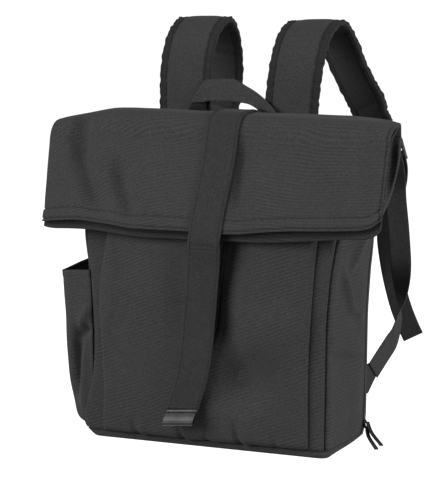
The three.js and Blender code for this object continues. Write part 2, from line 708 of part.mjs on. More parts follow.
// Pieces that come in pairs are drawn on the right; those of the left are mirrored
function mirrored(shape) {
  const copy = shape.clone();
  const p = copy.getAttribute('position');
  for (let i = 0; i < p.count; i += 1) p.setX(i, -p.getX(i));
  const index = Array.from(copy.getIndex().array);
  for (let i = 0; i < index.length; i += 3) [index[i], index[i + 1]] = [index[i + 1], index[i]];
  copy.setIndex(index);
  copy.computeVertexNormals();
  return copy;
}

// Buckle with two slots, drawn in its own frame: across, up and back
function buckleFrame({ x, y, z, yaw, tilt }) {
  const level = vec(Math.cos(yaw), Math.sin(yaw), 0);
  const rise = vec(0, 0, 1);
  const across = level.clone().multiplyScalar(Math.cos(tilt)).addScaledVector(rise, Math.sin(tilt));
  const up = level.clone().multiplyScalar(-Math.sin(tilt)).addScaledVector(rise, Math.cos(tilt));
  const back = vec(-Math.sin(yaw), Math.cos(yaw), 0);
  function at(a, u, b) {
    return vec(x, y, z).addScaledVector(across, a).addScaledVector(up, u).addScaledVector(back, b);
  }
  return { across, at };
}

function lockShape({ at }) {
  const w = lock.wide / 2;
  const h = lock.tall / 2;
  const plate = new THREE.Shape();
  plate.moveTo(-w, -h + 2);
  plate.lineTo(-w + 2, -h);
  plate.lineTo(w - 2, -h);
  plate.lineTo(w, -h + 2);
  plate.lineTo(w, h - 2);
  plate.lineTo(w - 2, h);
  plate.lineTo(-w + 2, h);
  plate.lineTo(-w, h - 2);
  for (const [low, high] of [[-6, 0], [5, 10]]) {
    const gap = new THREE.Path();
    gap.moveTo(-w + 2.6, low);
    gap.lineTo(-w + 2.6, high);
    gap.lineTo(w - 2.6, high);
    gap.lineTo(w - 2.6, low);
    plate.holes.push(gap);
  }
  const shape = new THREE.ExtrudeGeometry(plate, { depth: lock.thick, bevelEnabled: false });
  const p = shape.getAttribute('position');
  for (let i = 0; i < p.count; i += 1) {
    const to = at(p.getX(i), p.getY(i), lock.thick / 2 - p.getZ(i));
    p.setXYZ(i, to.x, to.y, to.z);
  }
  shape.setIndex(Array.from({ length: p.count }, (_, i) => i));
  shape.computeVertexNormals();
  return shape;
}

// Webbing as one strip: from the anchor tab up to the buckle, round its bar, down the tail
const web = (c, w) => ({ c, w, half: webHalf, thick: webThick / 2 });
const tabOut = vec(tab.dy, -tab.dx, 0);
function tabAt(reach, z, off) {
  return vec(tab.x + tab.dx * reach, tab.y + tab.dy * reach, z).addScaledVector(tabOut, off);
}
const place = (p, w) => ({ x: p.x, y: p.y, z: p.z, wx: w.x, wy: w.y, wz: w.z });

function webShape(side, { across, at }) {
  const lie = tab.thick / 2 + 0.6 + webThick / 2;
  const sewn = vec(-0.66 * tab.dx, -0.66 * tab.dy, 0.75);
  const round = 3.5;
  const rows = [
    place(tabAt(7, 72.5, lie), sewn),
    place(tabAt(16, 80.3, lie), sewn),
    place(tabAt(27, 90, lie + 0.2), sewn),
    place(tabAt(38, 99.5, lie + 0.5), sewn),
    place(tabAt(48, 111.5, lie + 1), vec(-0.1, -0.8, 0.6)),
    ...side.web.slice().reverse(),
    place(at(0, -22, -round), across),
  ];
  for (const a of steps(0, Math.PI, 4)) {
    rows.push(place(at(0, -6.4 + round * Math.sin(a), -round * Math.cos(a)), across));
  }
  rows.push(place(at(0, -22, round), across));
  rows.push(...side.tail);
  const line = along(rows, 2, ['wx', 'wy', 'wz']);
  return sweep(line.map((r) => web(r.c, vec(r.wx, r.wy, r.wz))), flatSection);
}

function tongueShape(end, { across, at }) {
  const round = 3.8;
  const rows = [end];
  for (const a of [-1, 0, 1, 2, 3, 4, 5]) {
    const turn = clamp(a / 4) * Math.PI;
    const climb = a < 0 ? 5 : a > 4 ? 8 : 0;
    const p = at(0, 10.4 - round * Math.sin(turn) + climb, round * Math.cos(turn));
    rows.push({ x: p.x, y: p.y, z: p.z });
  }
  return sweep(along(rows, 2, []).map((r) => web(r.c, across)), flatSection);
}

function tabShape() {
  const outer = [];
  const inner = [];
  for (const { reach, low, high } of tabEdges) {
    const zs = steps(low, high, 2);
    outer.push(zs.map((z) => tabAt(reach, z, tab.thick / 2)));
    inner.push(zs.map((z) => tabAt(reach, z, -tab.thick / 2)));
  }
  return gridSolid(outer, inner);
}

for (const [name, side] of Object.entries(sides)) {
  const turned = name === 'left' ? mirrored : (shape) => shape;
  const set = (piece, shape, look) => add(`${piece}_${name}`, turned(shape), look);
  const rows = [...riseRows.map((r, i) => ({ ...r, x: side.riseX[i], yaw: 0 })), ...side.fall];
  const line = along(rows.map((r) => ({ half: padHalf, ...r })), 2, ['yaw', 'full', 'half']);
  const width = (row) => vec(Math.cos(row.yaw), Math.sin(row.yaw), 0);
  const frame = buckleFrame(side.buckle);
  const [before, last] = line.slice(-2).map((row) => row.c);
  const pastEnd = last.clone().addScaledVector(last.clone().sub(before).normalize(), 1.7);
  set('shoulder_strap', sweep(line.map((row) => ({
    c: row.c,
    w: width(row),
    half: row.half,
    thick: padThick * row.full,
  })), softSection), 'pad');
  for (const [piece, way] of [['strap_binding_outer', 1], ['strap_binding_inner', -1]]) {
    set(piece, sweep(line.map((row) => ({
      c: row.c,
      w: width(row),
      half: bindWide / 2,
      shift: way * (row.half + seamGap + bindWide / 2),
      thick: bindThick * Math.min(1, row.full + 0.1),
    })), flatSection), 'binding');
  }
  set('strap_tongue', tongueShape(pastEnd, frame), 'webbing');
  set('ladder_lock', lockShape(frame), 'plastic');
  set('adjuster_webbing', webShape(side, frame), 'webbing');
  set('anchor_tab', tabShape(), 'cloth');
}

// Sliders of the side zip and their ribbon pulls
for (const [name, z] of Object.entries(sliderHeight)) {
  const at = zipPoint(0.5, z);
  const body = new THREE.BoxGeometry(slider.out, slider.wide, slider.tall);
  body.translate(at.x + 2 * seamGap + slider.out / 2, at.y, at.z);
  add(`zip_slider_${name}`, body, 'metal');
  add(`zip_pull_${name}`, sweep(along(pullRows[name], 3, []).map((r) => ({
    c: r.c,
    w: vec(0.6, 0.8, 0),
    half: pullHalf,
    thick: webThick / 2 - 0.1,
  })), flatSection), 'webbing');
}

export default bag;
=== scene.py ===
# Roll-top backpack: cloth, webbing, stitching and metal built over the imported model
import math

import bpy
import numpy as np
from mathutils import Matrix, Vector, noise


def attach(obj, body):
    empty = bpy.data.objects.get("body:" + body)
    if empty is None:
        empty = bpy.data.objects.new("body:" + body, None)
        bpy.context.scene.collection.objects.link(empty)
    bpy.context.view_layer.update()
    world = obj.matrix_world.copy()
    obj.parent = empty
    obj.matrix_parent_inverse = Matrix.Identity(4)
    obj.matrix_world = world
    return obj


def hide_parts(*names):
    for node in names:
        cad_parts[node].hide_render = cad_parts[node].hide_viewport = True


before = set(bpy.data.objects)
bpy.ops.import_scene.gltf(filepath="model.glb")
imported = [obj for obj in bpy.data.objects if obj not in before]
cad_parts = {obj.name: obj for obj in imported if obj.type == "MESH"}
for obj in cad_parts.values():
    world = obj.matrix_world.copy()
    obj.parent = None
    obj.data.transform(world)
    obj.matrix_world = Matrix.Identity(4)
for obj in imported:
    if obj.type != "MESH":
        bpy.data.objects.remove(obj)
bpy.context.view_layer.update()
scene = bpy.context.scene
mm = 0.001  # shapes are in millimetres; flat sizes, camera and lights in metres
print("frame loaded")


# Numbers along tables, curves and grids

def ease(low, high, x):
    t = np.clip((np.asarray(x, float) - low) / (high - low), 0, 1)
    return t * t * (3 - 2 * t)


def mix(a, b, t):
    return a + (b - a) * t


def hump(x, at, wide):
    return np.exp(-((x - at) / wide) ** 2)


def unit(v):
    return v / np.maximum(np.linalg.norm(v, axis=-1, keepdims=True), 1e-9)


def xyz(x, y, z):
    return np.stack(np.broadcast_arrays(x, y, z), axis=-1).astype(float)


def through(table, key, name, at):
    # smooth value of one column, never overshooting its rows
    keys = np.array(table[key], float)
    vals = np.array(table[name], float)
    step = np.diff(keys)
    slope = np.diff(vals) / step
    lean = np.concatenate([slope[:1], np.zeros(len(vals) - 2), slope[-1:]])
    before, after = slope[:-1], slope[1:]
    same = before * after > 0
    lean[1:-1] = np.where(same, 2 * before * after / np.where(same, before + after, 1), 0)
    at = np.asarray(at, float)
    i = np.clip(np.searchsorted(keys, at, side="right") - 1, 0, len(step) - 1)
    t = (at - keys[i]) / step[i]
    rest = 1 - t
    start = (1 + 2 * t) * rest ** 2 * vals[i] + t * rest ** 2 * step[i] * lean[i]
    end = t * t * (3 - 2 * t) * vals[i + 1] - t * t * rest * step[i] * lean[i + 1]
    low = vals[0] + lean[0] * (at - keys[0])
    high = vals[-1] + lean[-1] * (at - keys[-1])
    return np.where(at < keys[0], low, np.where(at > keys[-1], high, start + end))


def curveThrough(points, parts):
    # centripetal curve through a few points
    pts = np.array(points, float)
    ext = np.vstack([2 * pts[0] - pts[1], pts, 2 * pts[-1] - pts[-2]])
    out = []
    for i in range(len(pts) - 1):
        a, b, c, d = ext[i:i + 4]
        ab, bc, cd = (math.sqrt(np.linalg.norm(q - p)) for p, q in ((a, b), (b, c), (c, d)))
        leave = ((b - a) / ab - (c - a) / (ab + bc) + (c - b) / bc) * bc
        reach = ((c - b) / bc - (d - b) / (bc + cd) + (d - c) / cd) * bc
        t = np.arange(parts)[:, None] / parts
        out.append((2 * t ** 3 - 3 * t ** 2 + 1) * b + (t ** 3 - 2 * t ** 2 + t) * leave
                   + (3 * t ** 2 - 2 * t ** 3) * c + (t ** 3 - t ** 2) * reach)
    return np.vstack([*out, pts[-1:]])


def alongRows(rows, parts, column):
    # another column of the same rows, carried along the curve
    keys = np.arange(len(rows))
    at = np.linspace(0, len(rows) - 1, (len(rows) - 1) * parts + 1)
    return through({"i": keys, "value": [row[column] for row in rows]}, "i", "value", at)


def cloud(points, size, seed):
    shift = Vector((seed * 7.31, seed * 3.17, seed * 5.73))
    flat = points.reshape(-1, 3) / size
    values = [noise.noise(Vector(p) + shift) for p in flat]
    return np.array(values).reshape(points.shape[:-1])


def creases(folds, a, b):
    # straight soft folds, each from a start to an end, fading at both
    total = np.zeros(np.broadcast(a, b).shape)
    for fold in folds:
        (a0, b0), (a1, b1) = fold["start"], fold["end"]
        length = math.hypot(a1 - a0, b1 - b0)
        run = ((a - a0) * (a1 - a0) + (b - b0) * (b1 - b0)) / length ** 2
        off = ((a - a0) * (b1 - b0) - (b - b0) * (a1 - a0)) / length
        fade = ease(-0.2, 0.3, run) * (1 - ease(0.6, 1.2, run))
        total = total + fold["high"] * np.exp(-(off / fold["wide"]) ** 2) * fade
    return total


def gridNormals(p):
    return unit(np.cross(np.gradient(p, axis=0), np.gradient(p, axis=1)))


def lengthsAlong(p, axis):
    step = np.linalg.norm(np.diff(p, axis=axis), axis=-1)
    pad = [(0, 0), (0, 0)]
    pad[axis] = (1, 0)
    return np.cumsum(np.pad(step, pad), axis=axis)


def runAlong(path):
    return np.concatenate([[0], np.cumsum(np.linalg.norm(np.diff(path, axis=0), axis=1))])


def edgeDistance(p, axis):
    run = lengthsAlong(p, axis)
    return np.minimum(run, run.take([-1], axis=axis) - run)


def surface(point, us, vs, relief=None):
    u, v = np.meshgrid(us, vs, indexing="ij")
    p = point(u, v)
    n = gridNormals(p)
    if relief is not None:
        p = p + n * relief(u, v, p)[..., None]
        n = gridNormals(p)
    return {"us": np.array(us, float), "vs": np.array(vs, float), "p": p, "n": n}


def onSurface(grid, u, v, lift):
    # points and normals of a path given in the grid's own two parameters
    u, v = np.broadcast_arrays(np.asarray(u, float), np.asarray(v, float))
    i = np.interp(u, grid["us"], np.arange(len(grid["us"])))
    j = np.interp(v, grid["vs"], np.arange(len(grid["vs"])))
    i0 = np.minimum(i.astype(int), len(grid["us"]) - 2)
    j0 = np.minimum(j.astype(int), len(grid["vs"]) - 2)
    a, b = (i - i0)[..., None], (j - j0)[..., None]

    def pick(field):
        low = mix(field[i0, j0], field[i0 + 1, j0], a)
        return mix(low, mix(field[i0, j0 + 1], field[i0 + 1, j0 + 1], a), b)

    n = unit(pick(grid["n"]))
    return pick(grid["p"]) + n * lift, n


# Meshes and pieces

def meshFrom(name, points, faces, uv=None, mirrorX=False):
    points = np.asarray(points)
    if mirrorX:
        points = points * (-1, 1, 1)
        faces = [face[::-1] for face in faces]
    mesh = bpy.data.meshes.new(name)
    mesh.from_pydata((points * mm).tolist(), [], faces)
    mesh.shade_smooth()
    if uv is not None:
        corner = np.zeros(len(mesh.loops), int)
        mesh.loops.foreach_get("vertex_index", corner)
        layer = mesh.uv_layers.new(name="clothUv")
        layer.data.foreach_set("uv", (np.asarray(uv)[corner] * mm).ravel())
    return mesh


def addPiece(name, mesh, finish, slot, *nodes):
    piece = bpy.data.objects.new(name, mesh)
    scene.collection.objects.link(piece)
    mesh.materials.append(finish)
    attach(piece, "root")
    if nodes:
        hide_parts(*nodes)
    return piece


def gridFaces(nu, nv, start=0):
    index = np.arange(nu * nv).reshape(nu, nv) + start
    quads = np.stack([index[:-1, :-1], index[1:, :-1], index[1:, 1:], index[:-1, 1:]], axis=-1)
    return quads.reshape(-1, 4)


def sheetMesh(name, grid, thick, mirrorX=False, lie=None):
    # closed cloth: the face, the lining side and a rolled edge between them
    face = grid["p"]
    nu, nv = face.shape[:2]
    lining = face - grid["n"] * thick
    index = np.arange(nu * nv).reshape(nu, nv)
    ring = np.concatenate([index[:, 0], index[-1, 1:], index[-2::-1, -1], index[0, -2:0:-1]])
    inside = np.clip(ring // nv, 1, nu - 2) * nv + np.clip(ring % nv, 1, nv - 2)
    flat, under = face.reshape(-1, 3), lining.reshape(-1, 3)
    middle = (flat[ring] + under[ring]) / 2 + unit(flat[ring] - flat[inside]) * thick * 0.2
    count, edge = nu * nv, len(ring)
    nxt = np.roll(np.arange(edge), -1)
    mid, midNext = 2 * count + np.arange(edge), 2 * count + nxt
    outerRim = np.stack([mid, midNext, ring[nxt], ring], axis=-1)
    innerRim = np.stack([count + ring, count + ring[nxt], midNext, mid], axis=-1)
    faces = np.vstack([gridFaces(nu, nv), gridFaces(nu, nv, count)[:, ::-1], outerRim, innerRim])
    points = np.vstack([flat, under, middle])
    if lie is None:
        across = lengthsAlong(face, 0)
        lie = np.stack([across - across[nu // 2], lengthsAlong(face, 1)], axis=-1)
    uv = lie.reshape(-1, 2)
    uv = np.vstack([uv, uv, uv[ring]])
    return meshFrom(name, points, faces.tolist(), uv, mirrorX)


def addSheet(name, grid, thick, finish, slot, *nodes, **lay):
    return addPiece(name, sheetMesh(name, grid, thick, **lay), finish, slot, *nodes)


webSection = [(-1, -0.4), (-0.96, -1), (-0.82, -0.84), (0, -0.8), (0.82, -0.84), (0.96, -1), (1, -0.4),
              (1, 0.4), (0.96, 1), (0.82, 0.84), (0, 0.8), (-0.82, 0.84), (-0.96, 1), (-1, 0.4)]


def frameAlong(line, widths):
    tangent = unit(np.gradient(line, axis=0))
    across = unit(widths - tangent * np.sum(widths * tangent, axis=-1, keepdims=True))
    return across, np.cross(tangent, across)


def stripMesh(name, line, widths, half, thick, section=webSection, shift=0.0, mirrorX=False):
    # flat band swept along a line, its section given in shares of half width and half thickness
    across, out = frameAlong(line, widths)
    half, thick, shift = (np.broadcast_to(np.asarray(s, float), len(line)) for s in (half, thick, shift))
    p, q = np.array(section, float).T
    side = half[:, None] * p + shift[:, None]
    points = line[:, None] + across[:, None] * side[..., None]
    points = points + out[:, None] * (thick[:, None] * q)[..., None]
    n, m = points.shape[:2]
    index = np.arange(n * m).reshape(n, m)
    turned = np.roll(index, -1, axis=1)
    sides = np.stack([index[:-1], turned[:-1], turned[1:], index[1:]], axis=-1).reshape(-1, 4)
    faces = [*sides.tolist(), index[0, ::-1].tolist(), index[-1].tolist()]
    uv = np.stack(np.broadcast_arrays(side, runAlong(line)[:, None]), axis=-1).reshape(-1, 2)
    return meshFrom(name, points.reshape(-1, 3), faces, uv, mirrorX)


def addStrip(name, line, widths, half, thick, finish, slot, *nodes, **lay):
    return addPiece(name, stripMesh(name, line, widths, half, thick, **lay), finish, slot, *nodes)


thread = {"step": 3.4, "long": 1.5, "round": 0.32, "sides": 5, "full": (0.18, 0.82), "sink": 0.2,
          "lift": 0.12}


def stitchPiece(name, rows, finish, mirrorX=False, long=thread["long"]):
    # every stitch of a piece in one mesh: short rounded lengths of thread
    points, faces = [], []
    turn = np.arange(thread["sides"]) / thread["sides"] * 2 * math.pi
    for path, normal in rows:
        run = runAlong(path)
        count = max(2, int(run[-1] / thread["step"]))
        at = (np.arange(count) + 0.5) * run[-1] / count
        ends = [np.stack([np.interp(at + d, run, path[:, k]) for k in range(3)], axis=-1)
                for d in (-long / 2, long / 2)]
        up = unit(np.stack([np.interp(at, run, normal[:, k]) for k in range(3)], axis=-1))
        way = ends[1] - ends[0]
        side = unit(np.cross(way, up))
        for k in range(count):
            base = len(points)
            wheel = np.outer(np.cos(turn), up[k]) + np.outer(np.sin(turn), side[k])
            for share in thread["full"]:
                points.extend(ends[0][k] + way[k] * share + wheel * thread["round"])
            points.extend([end[k] - up[k] * thread["sink"] for end in ends])
            n = thread["sides"]
            for i in range(n):
                j = (i + 1) % n
                faces.append((base + j, base + i, base + n + i, base + n + j))
                faces.append((base + i, base + j, base + 2 * n))
                faces.append((base + n + j, base + n + i, base + 2 * n + 1))
    addPiece(name, meshFrom(name, points, faces, mirrorX=mirrorX), finish, "webbing")


# Shader groups shared by several finishes

def addNode(tree, kind, inputs=None, **settings):
    node = tree.nodes.new(kind)
    for key, value in settings.items():
        setattr(node, key, value)
    for key, value in (inputs or {}).items():
        if isinstance(value, bpy.types.NodeSocket):
            tree.links.new(value, node.inputs[key])
        else:
            node.inputs[key].default_value = value
    return node


def calc(tree, operation, a, b=0.0):
    return addNode(tree, "ShaderNodeMath", {0: a, 1: b}, operation=operation).outputs[0]


def noiseAt(tree, vector, scale, detail):
    node = addNode(tree, "ShaderNodeTexNoise", {"Vector": vector, "Scale": scale, "Detail": detail})
    return node.outputs["Fac"]


def spread(tree, value, fromLow, fromHigh, toLow=0.0, toHigh=1.0):
    # one range of values carried over to another
    return addNode(tree, "ShaderNodeMapRange", {"Value": value, "From Min": fromLow, "From Max": fromHigh,
                                                "To Min": toLow, "To Max": toHigh}).outputs["Result"]


def newGroup(name, takes, gives):
    tree = bpy.data.node_groups.new(name, "ShaderNodeTree")
    for socket, kind in takes.items():
        tree.interface.new_socket(socket, in_out="INPUT", socket_type=kind)
    for socket in gives:
        tree.interface.new_socket(socket, in_out="OUTPUT", socket_type="NodeSocketFloat")
    return tree, tree.nodes.new("NodeGroupInput").outputs, tree.nodes.new("NodeGroupOutput")


def makeTwillWeave():
    # diagonal or level ribs with uneven yarn; widths in metres
    takes = {"Vector": "NodeSocketVector", "Rib Width": "NodeSocketFloat", "Slant": "NodeSocketFloat",
             "Wobble": "NodeSocketFloat"}
    tree, given, out = newGroup("twillWeave", takes, ["Rib", "Yarn", "Height"])
    place = given["Vector"]
    turned = addNode(tree, "ShaderNodeVectorRotate", {"Vector": place, "Angle": given["Slant"]},
                     rotation_type="Z_AXIS").outputs[0]
    up = addNode(tree, "ShaderNodeSeparateXYZ", {"Vector": turned}).outputs["Y"]
    drift = calc(tree, "SUBTRACT", noiseAt(tree, place, 11.0, 1.5), 0.5)
    swing = calc(tree, "MULTIPLY", drift, given["Wobble"])
    phase = calc(tree, "ADD", calc(tree, "DIVIDE", up, given["Rib Width"]), swing)
    wave = calc(tree, "SINE", calc(tree, "MULTIPLY", phase, 2 * math.pi))
    shown = spread(tree, noiseAt(tree, place, 16.0, 2.0), 0.34, 0.6, 0.12, 0.5)
    rib = calc(tree, "ADD", calc(tree, "MULTIPLY", wave, shown), 0.5)
    crossing = addNode(tree, "ShaderNodeVectorMath", {"Vector": turned}, operation="SNAP")
    crossing.inputs[1].default_value = (0.0013, 0.0009, 1.0)  # one cell for each yarn that comes to the top
    tuft = addNode(tree, "ShaderNodeTexWhiteNoise", {"Vector": crossing.outputs[0]}, noise_dimensions="2D")
    fuzz = spread(tree, noiseAt(tree, place, 1100.0, 2.0), 0.35, 0.65)
    yarn = calc(tree, "MULTIPLY", calc(tree, "ADD", tuft.outputs["Value"], fuzz), 0.5)
    height = calc(tree, "ADD", calc(tree, "MULTIPLY", rib, 0.5), calc(tree, "MULTIPLY", fuzz, 0.1))
    tree.links.new(rib, out.inputs["Rib"])
    tree.links.new(yarn, out.inputs["Yarn"])
    tree.links.new(height, out.inputs["Height"])
    return tree


def makeFadedPatches():
    # slow change of tone over a piece, with a few rubbed spots
    takes = {"Vector": "NodeSocketVector", "Scale": "NodeSocketFloat"}
    tree, given, out = newGroup("fadedPatches", takes, ["Tone", "Rubbed"])
    slow = noiseAt(tree, given["Vector"], given["Scale"], 3.0)
    spots = noiseAt(tree, given["Vector"], calc(tree, "MULTIPLY", given["Scale"], 9.0), 4.0)
    tree.links.new(slow, out.inputs["Tone"])
    tree.links.new(spread(tree, spots, 0.6, 0.78), out.inputs["Rubbed"])
    return tree


twillWeave = makeTwillWeave()
fadedPatches = makeFadedPatches()


def newFinish(name):
    finish = bpy.data.materials.new(name)
    finish.use_nodes = True
    tree = finish.node_tree
    return finish, tree, tree.nodes["Principled BSDF"]


def tintBetween(tree, shader, share, look):
    colour = addNode(tree, "ShaderNodeMix", {"Factor": share}, data_type="RGBA")
    colour.inputs["A"].default_value = (*look["dark"], 1)
    colour.inputs["B"].default_value = (*look["light"], 1)
    tree.links.new(colour.outputs["Result"], shader.inputs["Base Color"])


def addGrain(tree, shader, height, strength, deep):
    grain = addNode(tree, "ShaderNodeBump", {"Height": height, "Strength": strength, "Distance": deep * mm})
    tree.links.new(grain.outputs["Normal"], shader.inputs["Normal"])


def clothFinish(name, look):
    finish, tree, shader = newFinish(name)
    place = addNode(tree, "ShaderNodeUVMap", uv_map="clothUv").outputs["UV"]
    body = addNode(tree, "ShaderNodeTexCoord").outputs["Object"]
    weave = addNode(tree, "ShaderNodeGroup",
                    {"Vector": place, "Rib Width": look["rib"] * mm, "Slant": look["slant"],
                     "Wobble": look["wobble"]}, node_tree=twillWeave).outputs
    patches = addNode(tree, "ShaderNodeGroup", {"Vector": body, "Scale": look["patch"]},
                      node_tree=fadedPatches).outputs
    ribs = calc(tree, "MULTIPLY", weave["Rib"], look["ribShare"])
    yarn = calc(tree, "MULTIPLY", weave["Yarn"], look["yarnShare"])
    tone = calc(tree, "MULTIPLY", patches["Tone"], look["toneShare"])
    tintBetween(tree, shader, calc(tree, "ADD", calc(tree, "ADD", ribs, yarn), tone), look)
    rough = spread(tree, patches["Rubbed"], 0.0, 1.0, look["rough"], look["rough"] - look["rubbed"])
    tree.links.new(rough, shader.inputs["Roughness"])
    addGrain(tree, shader, weave["Height"], look["bump"], look["deep"])
    shader.inputs["Specular IOR Level"].default_value = look["gloss"]
    shader.inputs["Sheen Weight"].default_value = look["sheen"]
    shader.inputs["Sheen Roughness"].default_value = 0.45
    return finish


def grey(value, cool=0.0):
    return (value, value, value + cool)


bodyTwill = {"dark": grey(0.010), "light": grey(0.055, 0.001), "rib": 3.8, "slant": -0.36, "wobble": 2.5,
             "ribShare": 0.26, "yarnShare": 0.68, "toneShare": 0.2, "patch": 9.0, "rough": 0.9, "bump": 0.45,
             "deep": 0.4, "gloss": 0.12, "sheen": 0.03, "rubbed": 0.12}
flapTwill = {**bodyTwill, "rib": 4.0, "slant": 0.0, "wobble": 4.5, "patch": 7.0}
# the inner layer is the flap's cloth with its light colour lowered: painted shade for the half shade under
# the outer layer
innerShadeTwill = {**flapTwill, "light": grey(0.04)}
sideTwill = {**bodyTwill, "rib": 4.2, "slant": 0.0, "wobble": 4.0}
padTwill = {**bodyTwill, "light": grey(0.066, 0.001), "rib": 2.6, "slant": -0.5, "ribShare": 0.2,
            "yarnShare": 0.5}
meshLining = {**bodyTwill, "light": grey(0.05), "rib": 2.4, "slant": 0.0, "wobble": 0.4, "ribShare": 0.12}
webWeave = {**bodyTwill, "dark": grey(0.003), "light": grey(0.041), "rib": 2.2, "slant": 0.55, "wobble": 0.3,
            "ribShare": 0.3, "yarnShare": 0.8, "toneShare": 0.05, "gloss": 0.16, "rough": 0.85}
handleWeave = {**webWeave, "light": grey(0.047), "yarnShare": 0.95}
# the adjuster webbing is the strap webbing made lighter: painted light, because the bag shades it from the
# key lamp
adjusterLitWeave = {**webWeave, "dark": grey(0.010), "light": grey(0.054)}
grosgrain = {**bodyTwill, "dark": grey(0.005), "light": grey(0.025), "rib": 1.8, "slant": 0.0, "wobble": 0.1,
             "ribShare": 0.3, "bump": 0.6, "gloss": 0.16, "rough": 0.82}
zipWeave = {**grosgrain, "dark": grey(0.004), "light": grey(0.012)}

bodyFinish = clothFinish("body_twill", bodyTwill)
flapFinish = clothFinish("flap_twill", flapTwill)
innerShadeFinish = clothFinish("inner_flap_twill_painted_shade", innerShadeTwill)
sideFinish = clothFinish("side_twill", sideTwill)
padFinish = clothFinish("padded_twill", padTwill)
liningFinish = clothFinish("strap_lining_mesh", meshLining)
webFinish = clothFinish("strap_webbing", webWeave)
handleFinish = clothFinish("handle_webbing", handleWeave)
adjusterLitFinish = clothFinish("adjuster_webbing", adjusterLitWeave)
bindFinish = clothFinish("grosgrain_binding", grosgrain)
tapeFinish = clothFinish("zip_tape", zipWeave)


def yarnFinish(name, look):
    finish, tree, shader = newFinish(name)
    body = addNode(tree, "ShaderNodeTexCoord").outputs["Object"]
    patches = addNode(tree, "ShaderNodeGroup", {"Vector": body, "Scale": look["patch"]},
                      node_tree=fadedPatches).outputs
    tintBetween(tree, shader, patches["Tone"], look)
    fibre = noiseAt(tree, body, look["fibre"], 2.0)
    rough = spread(tree, fibre, 0.0, 1.0, look["rough"] - 0.1, look["rough"] + 0.1)
    tree.links.new(rough, shader.inputs["Roughness"])
    addGrain(tree, shader, fibre, look["bump"], look["deep"])
    shader.inputs["Specular IOR Level"].default_value = look["gloss"]
    shader.inputs["Metallic"].default_value = look["metal"]
    return finish


threadLook = {"dark": grey(0.04), "light": grey(0.11), "patch": 60.0, "fibre": 2500.0, "rough": 0.7,
              "bump": 0.4, "deep": 0.2, "gloss": 0.2, "metal": 0.0}
darkThread = {**threadLook, "dark": grey(0.004), "light": grey(0.012)}
acetal = {**threadLook, "dark": grey(0.010), "light": grey(0.02), "patch": 50.0, "fibre": 1800.0,
          "rough": 0.42, "bump": 0.15, "gloss": 0.5}
# the coil is dark partly as the zip's own colour and partly as painted shade, so the pocket's zip slit reads
# as in shadow
coilLook = {**acetal, "dark": grey(0.006), "light": grey(0.016), "patch": 80.0, "fibre": 2200.0,
            "rough": 0.4, "bump": 0.2}
gunmetal = {**acetal, "dark": grey(0.016), "light": grey(0.036), "patch": 70.0, "fibre": 900.0,
            "rough": 0.36, "bump": 0.12, "metal": 1.0}
threadFinish = yarnFinish("sewing_thread", threadLook)
darkThreadFinish = yarnFinish("dark_thread", darkThread)
plasticFinish = yarnFinish("buckle_acetal", acetal)
coilFinish = yarnFinish("zip_coil", coilLook)
metalFinish = yarnFinish("gunmetal_plate", gunmetal)
print("finishes made")


# Outline of the bag by height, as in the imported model, with fuller corners

bag = {"topSeam": 345, "foot": 9.8, "corner": 12, "cloth": 2, "gap": 0.3, "zipFront": 20, "zipBack": 13.5,
       "roundLow": 46, "roundHigh": 7}
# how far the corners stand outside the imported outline
leftCorner = {"z": (0, 12, 25, 45, 70, 110, 150, 230, 260, 330),
              "out": (1, 13, 16, 12, 6, 3.5, 4.5, 4.5, 3, 0)}
backCorner = {"z": (0, 12, 30, 120, 190, 226, 258, 330), "out": (3, 5, 6, 6, 5, 3, 0, 0)}
bagShape = {
    "z": (0, 20, 70, 130, 190, 226, 258, 290, 322, 350),
    "seam": (139.5, 139.5, 139.5, 139.5, 143, 147.5, 149.5, 150, 150, 150),
    "front": (-67.5, -68, -68, -68, -68, -67, -56.5, -45.5, -34, -24),
    "back": (67.5, 68, 68, 68, 68, 67, 57.5, 46.5, 35, 25),
    "side": (140.5, 142, 144, 145, 148, 158, 180, 191, 198, 200),
}


def bagPoint(q, z):
    # q runs from the middle of the front (0) round the right side to the middle of the back (7)
    q, z = np.broadcast_arrays(np.asarray(q, float), np.asarray(z, float))
    flip = np.where((q < 0) | (q > 7), -1.0, 1.0)
    q = np.where(q < 0, -q, np.where(q > 7, 14 - q, q))
    front, back, seam, side = (through(bagShape, "z", name, z) for name in ("front", "back", "seam", "side"))
    none = np.zeros_like(z)
    corner = [np.stack(c, axis=-1) for c in
              ((none, front), (seam, front), (side, (front + back) / 2), (seam, back), (none, back))]
    middle = mix(bag["roundLow"], bag["roundHigh"], ease(215, 290, z))[..., None]
    reach = [0, bag["corner"], middle, bag["corner"], 0]
    way = [None] + [unit(corner[k] - corner[k - 1]) for k in range(1, 5)]
    enter = [None] + [corner[k] - way[k] * reach[k] for k in range(1, 4)] + [corner[4]]
    leave = [corner[0]] + [corner[k] + way[k + 1] * reach[k] for k in range(1, 4)]
    part = np.minimum(6, np.floor(q)).astype(int)
    t = (q - part)[..., None]
    pieces = []
    for k in range(7):
        c = (k + 1) // 2
        if k % 2:
            pieces.append(mix(mix(enter[c], corner[c], t), mix(corner[c], leave[c], t), t))
        else:
            pieces.append(mix(leave[c], enter[c + 1], t))
    p = np.take_along_axis(np.stack(pieces), part[None, ..., None], axis=0)[0]
    left = through(leftCorner, "z", "out", z) * ease(20, -45, p[..., 1])
    behind = through(backCorner, "z", "out", z) * ease(-50, 25, p[..., 1])
    full = (np.where(flip < 0, left, 0) + behind) * ease(95, 138, p[..., 0])
    return xyz((p[..., 0] + full) * flip, p[..., 1], z)


def nearBack(distance, z):
    straight = np.linalg.norm(bagPoint(4, z) - bagPoint(5, z), axis=-1)
    return 5 - (distance - bag["corner"]) / straight


def between(stops, counts):
    parts = [np.linspace(a, b, n, endpoint=False) for a, b, n in zip(stops, stops[1:], counts)]
    return np.concatenate([*parts, stops[-1:]])


def toSeam(inner, edge, count):
    # columns that close up towards a seam
    t = np.linspace(0, 1, count)
    return inner + (edge - inner) * (1 - (1 - t) ** 2)


